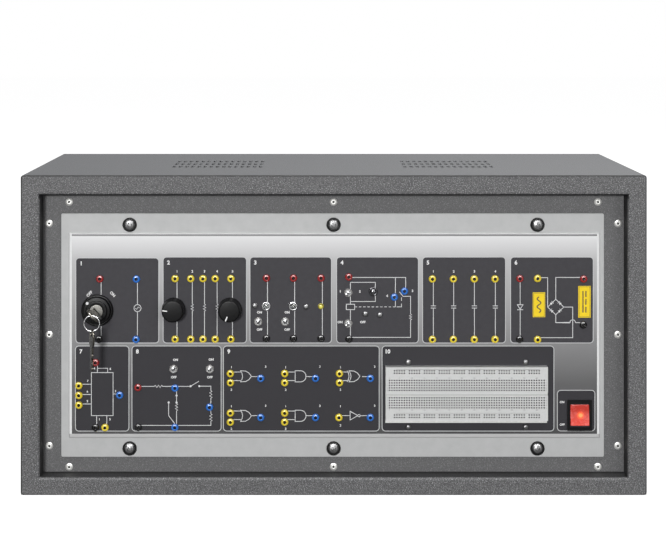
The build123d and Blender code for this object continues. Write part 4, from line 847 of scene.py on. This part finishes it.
finished("lamp_rings", several(spin(eased(small_ring, 0.3), 40), lamp_seats), lamp_plating, "bright_steel",
         "lamp_bezels")


def dome(radius, low, centre, steps=10):
    """The profile of a round-ended cylinder, from its rim to its pole."""
    turns = [math.radians(90 * i / steps) for i in range(steps + 1)]
    return [(radius, low)] + [(radius * math.cos(a), centre + radius * math.sin(a)) for a in turns]


def clear_moulding(name, color, roughness, ripple, size):
    """A clear part: tinted, glossy, and faintly uneven where it was moulded."""
    material = grained(name, color, color, size, roughness, ripple, spread=0.05)
    shader = material.node_tree.nodes["Principled BSDF"]
    shader.inputs["Transmission Weight"].default_value = 0.9
    shader.inputs["IOR"].default_value = 1.49
    return material


lens = spin(dome(3.2, -1.5, 0.6) + dome(2.7, -1.5, 0.6)[::-1], 40)
clear_lens = clear_moulding("clear_lens", (240, 242, 242), 0.06, 0.03, 1.5)
finished("lamp_domes", several(lens, lamp_seats), clear_lens, "clear_lens", "lamp_lenses", crease=60)
coat(clear_moulding("bulb_glass", (236, 232, 214), 0.05, 0.0, 1.0), "lamp_bulbs")
led = spin([(0, -4), (2.5, -4), (2.5, 0), (3, 0), (3, 0.8), (2.9, 0.9)] + dome(2.5, 0.9, 1.6), 40)
# Painted glow: the top of the diode's dome is a lighter yellow for the lit diode's light, and the rest of the
# dome and the flange are a darker olive yellow.
diode_glow_paint = grained("yellow_diode_painted_glow", (246, 240, 120), (236, 226, 90), 1.6, 0.14, 0.01, clear=0.5)
led_rim = grained("diode_flange", (178, 166, 52), (150, 138, 40), 1.2, 0.2, 0.01)
diode = finished("diode_lamp", several(led, [seat(diode_x, diode_z)]), led_rim, "yellow_lens", "yellow_led",
                 crease=50)
lined(diode, diode_glow_paint, [(diode_x, diode_z)], 1.75)

# Board screws and boards: small bright pan-head screws through the fascia into plated spacers, which
# hold green laminate boards with their parts behind the panel.
small_head = [(0, -12), (1.45, -12), (1.45, 0), (2.9, 0), (2.9, 0.6), (2.0, 1.55), (0, 1.8)]
board_seats = [seat(x, z, 0, 17 * i) for i, (x, z) in enumerate(spots("board_screws"))]
finished("board_screw_heads", several(crossed(small_head, 1.5, 0.75, 1.1), board_seats), screw_plating,
         "bright_steel", "board_screws")
coat(zinc, "board_standoffs")
coat(grained("board_laminate", (28, 96, 52), (36, 112, 62), 4.0, 0.35, 0.02), "circuit_boards")
coat(grained("component_moulding", (32, 32, 34), (48, 48, 50), 2.0, 0.45), "board_components")

# Solderless breadboard: a moulding in off-white with square holes over spring clips, rail grooves and a
# centre trough, numbered every five columns, on a thin plated backing plate.
board_x, board_z, board_face = 135.5, -58.0, 9.5
pitch = 2.54
board_half_wide, board_half_high, trough_half = 81.3, 26.2, 1.35
board_white = grained("breadboard_moulding", (206, 207, 206), (197, 198, 197), 1.8, 0.42, 0.02)
backing = grained("plated_backing", (215, 215, 213), (190, 190, 188), 2.0, 0.3, 0.01, metallic=1.0)
# Painted shade: the insides of the holes, on the moulding and on the plate behind it, are near black.
hole_depths = (fascia_face - board_face + 0.5, fascia_face - 0.5)
for side in (-1, 1):
    rows = sorted((side * trough_half, side * board_half_high))
    hole_field = [(board_x + across, deep, panel_middle + board_z + up)
                  for across, deep, up in zip((-board_half_wide, board_half_wide), hole_depths, rows)]
    toned(board_white, (46, 46, 47), hole_field)
    toned(backing, (40, 40, 41), hole_field)
coat(board_white, "breadboard")
coat(backing, "breadboard_plate")
board_ink = bmesh.new()
for line_z in (board_z + 25.2, board_z - 19.4):
    strip(board_ink, [(board_x - 72, line_z), (board_x + 74, line_z)], 0.3, board_face, board_face + 0.04)
for column in range(13):
    x = board_x + ((5 * column or 1) - 32) * pitch
    for side in (-1, 1):
        lettering(board_ink, str(5 * column or 1), x, board_z + side * 16.2, 1.9,
                  height=board_face + 0.02, heavy=0.01)
for row, letter in enumerate("abcdefghij"):
    z = board_z + (row - 4.5) * pitch + (pitch if row > 4 else -pitch)
    for side in (-1, 1):
        lettering(board_ink, letter, board_x + side * 80.9, z, 1.7, height=board_face + 0.02, heavy=0.01)
grey_ink = grained("board_numerals", (98, 98, 100), (112, 112, 114), 1.5, 0.5, 0.01)
finished("breadboard_numerals", on_face(board_ink), grey_ink, "breadboard_white")

# Rocker switch: a translucent red rocker on two pins, rocked in at the top where the switch is on and
# lit from inside by a small lamp, in a black moulded housing with a flat rim.
rocker_x, rocker_z = 251.5, -81.5
rocker_half, rocker_wide = 10.6, 19.0
lamp_spot = (252.2, -81.0)
rocker_lean = -9
rocker_side = [(-rocker_half, 5.4), (-5.4, 4.15), (0, 3.75), (5.4, 4.15), (rocker_half, 5.4),
               (rocker_half, 0), (7, -2.5), (3, -7.5), (-3, -7.5), (-7, -2.5), (-rocker_half, 0)]
rocker = bmesh.new()
walls = [[rocker.verts.new((side * rocker_wide / 2, z, h)) for z, h in rocker_side] for side in (-1, 1)]
rocker.faces.new(walls[0])
rocker.faces.new(walls[1])
for i in range(len(rocker_side)):
    rocker.faces.new([walls[0][i - 1], walls[0][i], walls[1][i], walls[1][i - 1]])
rims = [edge for edge in rocker.edges if all(corner.co.z > -0.1 for corner in edge.verts)
        and not (abs(edge.verts[0].co.y) < 9 and abs(edge.verts[0].co.y - edge.verts[1].co.y) < 0.1)]
bmesh.ops.bevel(rocker, geom=rims, offset=0.7, segments=4, profile=0.5, affect="EDGES")
pins = several(spin([(0, -10.4), (1.5, -10.4), (1.5, 10.4), (0, 10.4)], 24),
               [Matrix.Rotation(math.radians(90), 4, "Y")])
pattern = bpy.data.meshes.new("pins")
pins.to_mesh(pattern)
rocker.from_mesh(pattern)
bpy.data.meshes.remove(pattern)
red_glow = grained("lit_red_moulding", (226, 62, 42), (220, 56, 38), 4.0, 0.2, 0.0, clear=0.3)
tree = red_glow.node_tree
height = node(tree, "SeparateXYZ", {0: node(tree, "TexCoord", {}).outputs["Object"]}).outputs["Z"]
# Painted shade: the rocker's red darkens towards its top, as shade on its upper face.
upper_shade = node(tree, "MapRange", {"Value": height, "From Min": (panel_middle + rocker_z - 6) * mm,
                                "From Max": (panel_middle + rocker_z + 6) * mm}).outputs[0]
shader = tree.nodes["Principled BSDF"]
body_red = shader.inputs["Base Color"].links[0].from_socket
tree.links.new(between(tree, upper_shade, body_red, tint(184, 40, 22)), shader.inputs["Base Color"])
middle = Vector((lamp_spot[0], fascia_face - 3.0, panel_middle + lamp_spot[1])) * mm
away = node(tree, "VectorMath", {0: node(tree, "TexCoord", {}).outputs["Object"], 1: tuple(middle)},
            operation="DISTANCE").outputs["Value"]
glow = node(tree, "MapRange", {"Value": away, "From Min": 0.3 * mm, "From Max": 8.0 * mm, "To Min": 1.0,
                               "To Max": 0.0}, interpolation_type="SMOOTHERSTEP")
warm = node(tree, "ValToRGB", {0: glow.outputs[0]})
warm.color_ramp.elements[0].color = tint(84, 12, 6)
warm.color_ramp.elements[1].color = tint(255, 190, 90)
warm.color_ramp.elements.new(0.45).color = tint(128, 34, 8)
warm.color_ramp.elements.new(0.85).color = tint(222, 100, 24)
tree.links.new(warm.outputs[0], shader.inputs["Emission Color"])
shader.inputs["Emission Strength"].default_value = 0.75
place = seat(rocker_x, rocker_z, -1.5) @ Matrix.Rotation(math.radians(rocker_lean), 4, "X")
finished("rocker_moulding", several(rocker, [place]), red_glow, "red_rocker", "rocker", body="power_rocker")
coat(black_moulding, "rocker_housing")

# Labels: two strips of yellow film stuck over the rectifier's circuit, printed with a thin dark border
# and a sign: a wave on the side that is fed, and a line beside dashes on the side that feeds.
label_size = [(210.0, 31.5, 12.7, 25.4), (256.5, 34.5, 12.7, 32.4)]
film = bmesh.new()
film_ink = bmesh.new()
for x, z, wide, high in label_size:
    left, right, top, bottom = x - wide / 2, x + wide / 2, z + high / 2, z - high / 2
    prism(film, rounded(left, right, top, bottom, 0.5), 0.0, 0.18)
    strip(film_ink, [(left + 0.9, bottom + 0.9), (right - 0.9, bottom + 0.9), (right - 0.9, top - 0.9),
                     (left + 0.9, top - 0.9)], 0.35, 0.18, 0.2, closed=True)
    if x < 230:
        strip(film_ink, [(x + 1.9 * math.sin(math.tau * i / 16), z + (i - 16) * 0.5) for i in range(33)],
              1.2, 0.18, 0.2)
    else:
        strip(film_ink, [(x - 1.5, z - 11), (x - 1.5, z + 11)], 1.2, 0.18, 0.2)
        for rise in (-8, 0, 8):
            strip(film_ink, [(x + 1.5, z + rise - 3), (x + 1.5, z + rise + 3)], 1.2, 0.18, 0.2)
yellow_film = grained("yellow_film", (248, 216, 4), (240, 206, 2), 4.0, 0.4, 0.01, shine=0.25)
finished("label_films", on_face(film), yellow_film, "label_yellow", "range_labels")
film_mark = grained("label_ink", (70, 50, 6), (84, 62, 10), 2.0, 0.4, 0.01)
finished("label_print", on_face(film_ink), film_mark, "label_yellow")

# Floor and light: a plain pale floor, and five softboxes: the strongest far in front on the left, a weak
# one on the right, a wide strip above the front that shows only in gloss, one overhead and one behind.
floor = bpy.data.objects.new("floor", bpy.data.meshes.new("floor"))
sheet = bmesh.new()
bmesh.ops.create_grid(sheet, x_segments=8, y_segments=8, size=14.0)
sheet.to_mesh(floor.data)
pale_floor = grained("pale_floor", (128, 128, 128), (124, 124, 124), 60.0, 0.8, 0.0)
tree = pale_floor.node_tree
shader = tree.nodes["Principled BSDF"]
shader.inputs["Emission Color"].default_value = (0.96, 0.96, 0.96, 1)
tree.links.new(node(tree, "LightPath", {}).outputs["Is Camera Ray"], shader.inputs["Emission Strength"])
floor.data.materials.append(pale_floor)
bpy.context.scene.collection.objects.link(floor)
softboxes = {
    "key": ((-1.9, -11.6, 1.9), (0, -0.1, 0.15), 1.5, 1.5, 850),
    "fill": ((2.0, -4.4, 0.8), (0, -0.1, 0.15), 2.0, 2.0, 44),
    "glint": ((-0.1, -1.95, 2.5), (0, -0.15, 0.15), 5.0, 1.0, 340),
    "overhead": ((-0.3, 0.0, 3.0), (0, 0, 0.3), 1.2, 1.2, 33),
    "rear": ((0.9, 2.4, 3.6), (0, 0.1, 0.15), 1.4, 1.4, 110),
}
for name, (place, aim, wide, high, power) in softboxes.items():
    softbox = bpy.data.objects.new(name, bpy.data.lights.new(name, "AREA"))
    softbox.data.shape = "RECTANGLE"
    softbox.data.size, softbox.data.size_y = wide, high
    softbox.data.energy = power
    softbox.location = place
    softbox.rotation_euler = (Vector(aim) - Vector(place)).to_track_quat("-Z", "Y").to_euler()
    softbox.visible_diffuse = name != "glint"
    bpy.context.scene.collection.objects.link(softbox)
world = bpy.data.worlds.new("studio")
bpy.context.scene.world = world
world.use_nodes = True
tree = world.node_tree
seen = node(tree, "LightPath", {}).outputs["Is Camera Ray"]
room = tree.nodes["Background"]
tree.links.new(between(tree, seen, (0.1, 0.1, 0.104, 1), (1, 1, 1, 1)), room.inputs["Color"])
room.inputs["Strength"].default_value = 1.0
bpy.context.scene.view_settings.view_transform = "Standard"
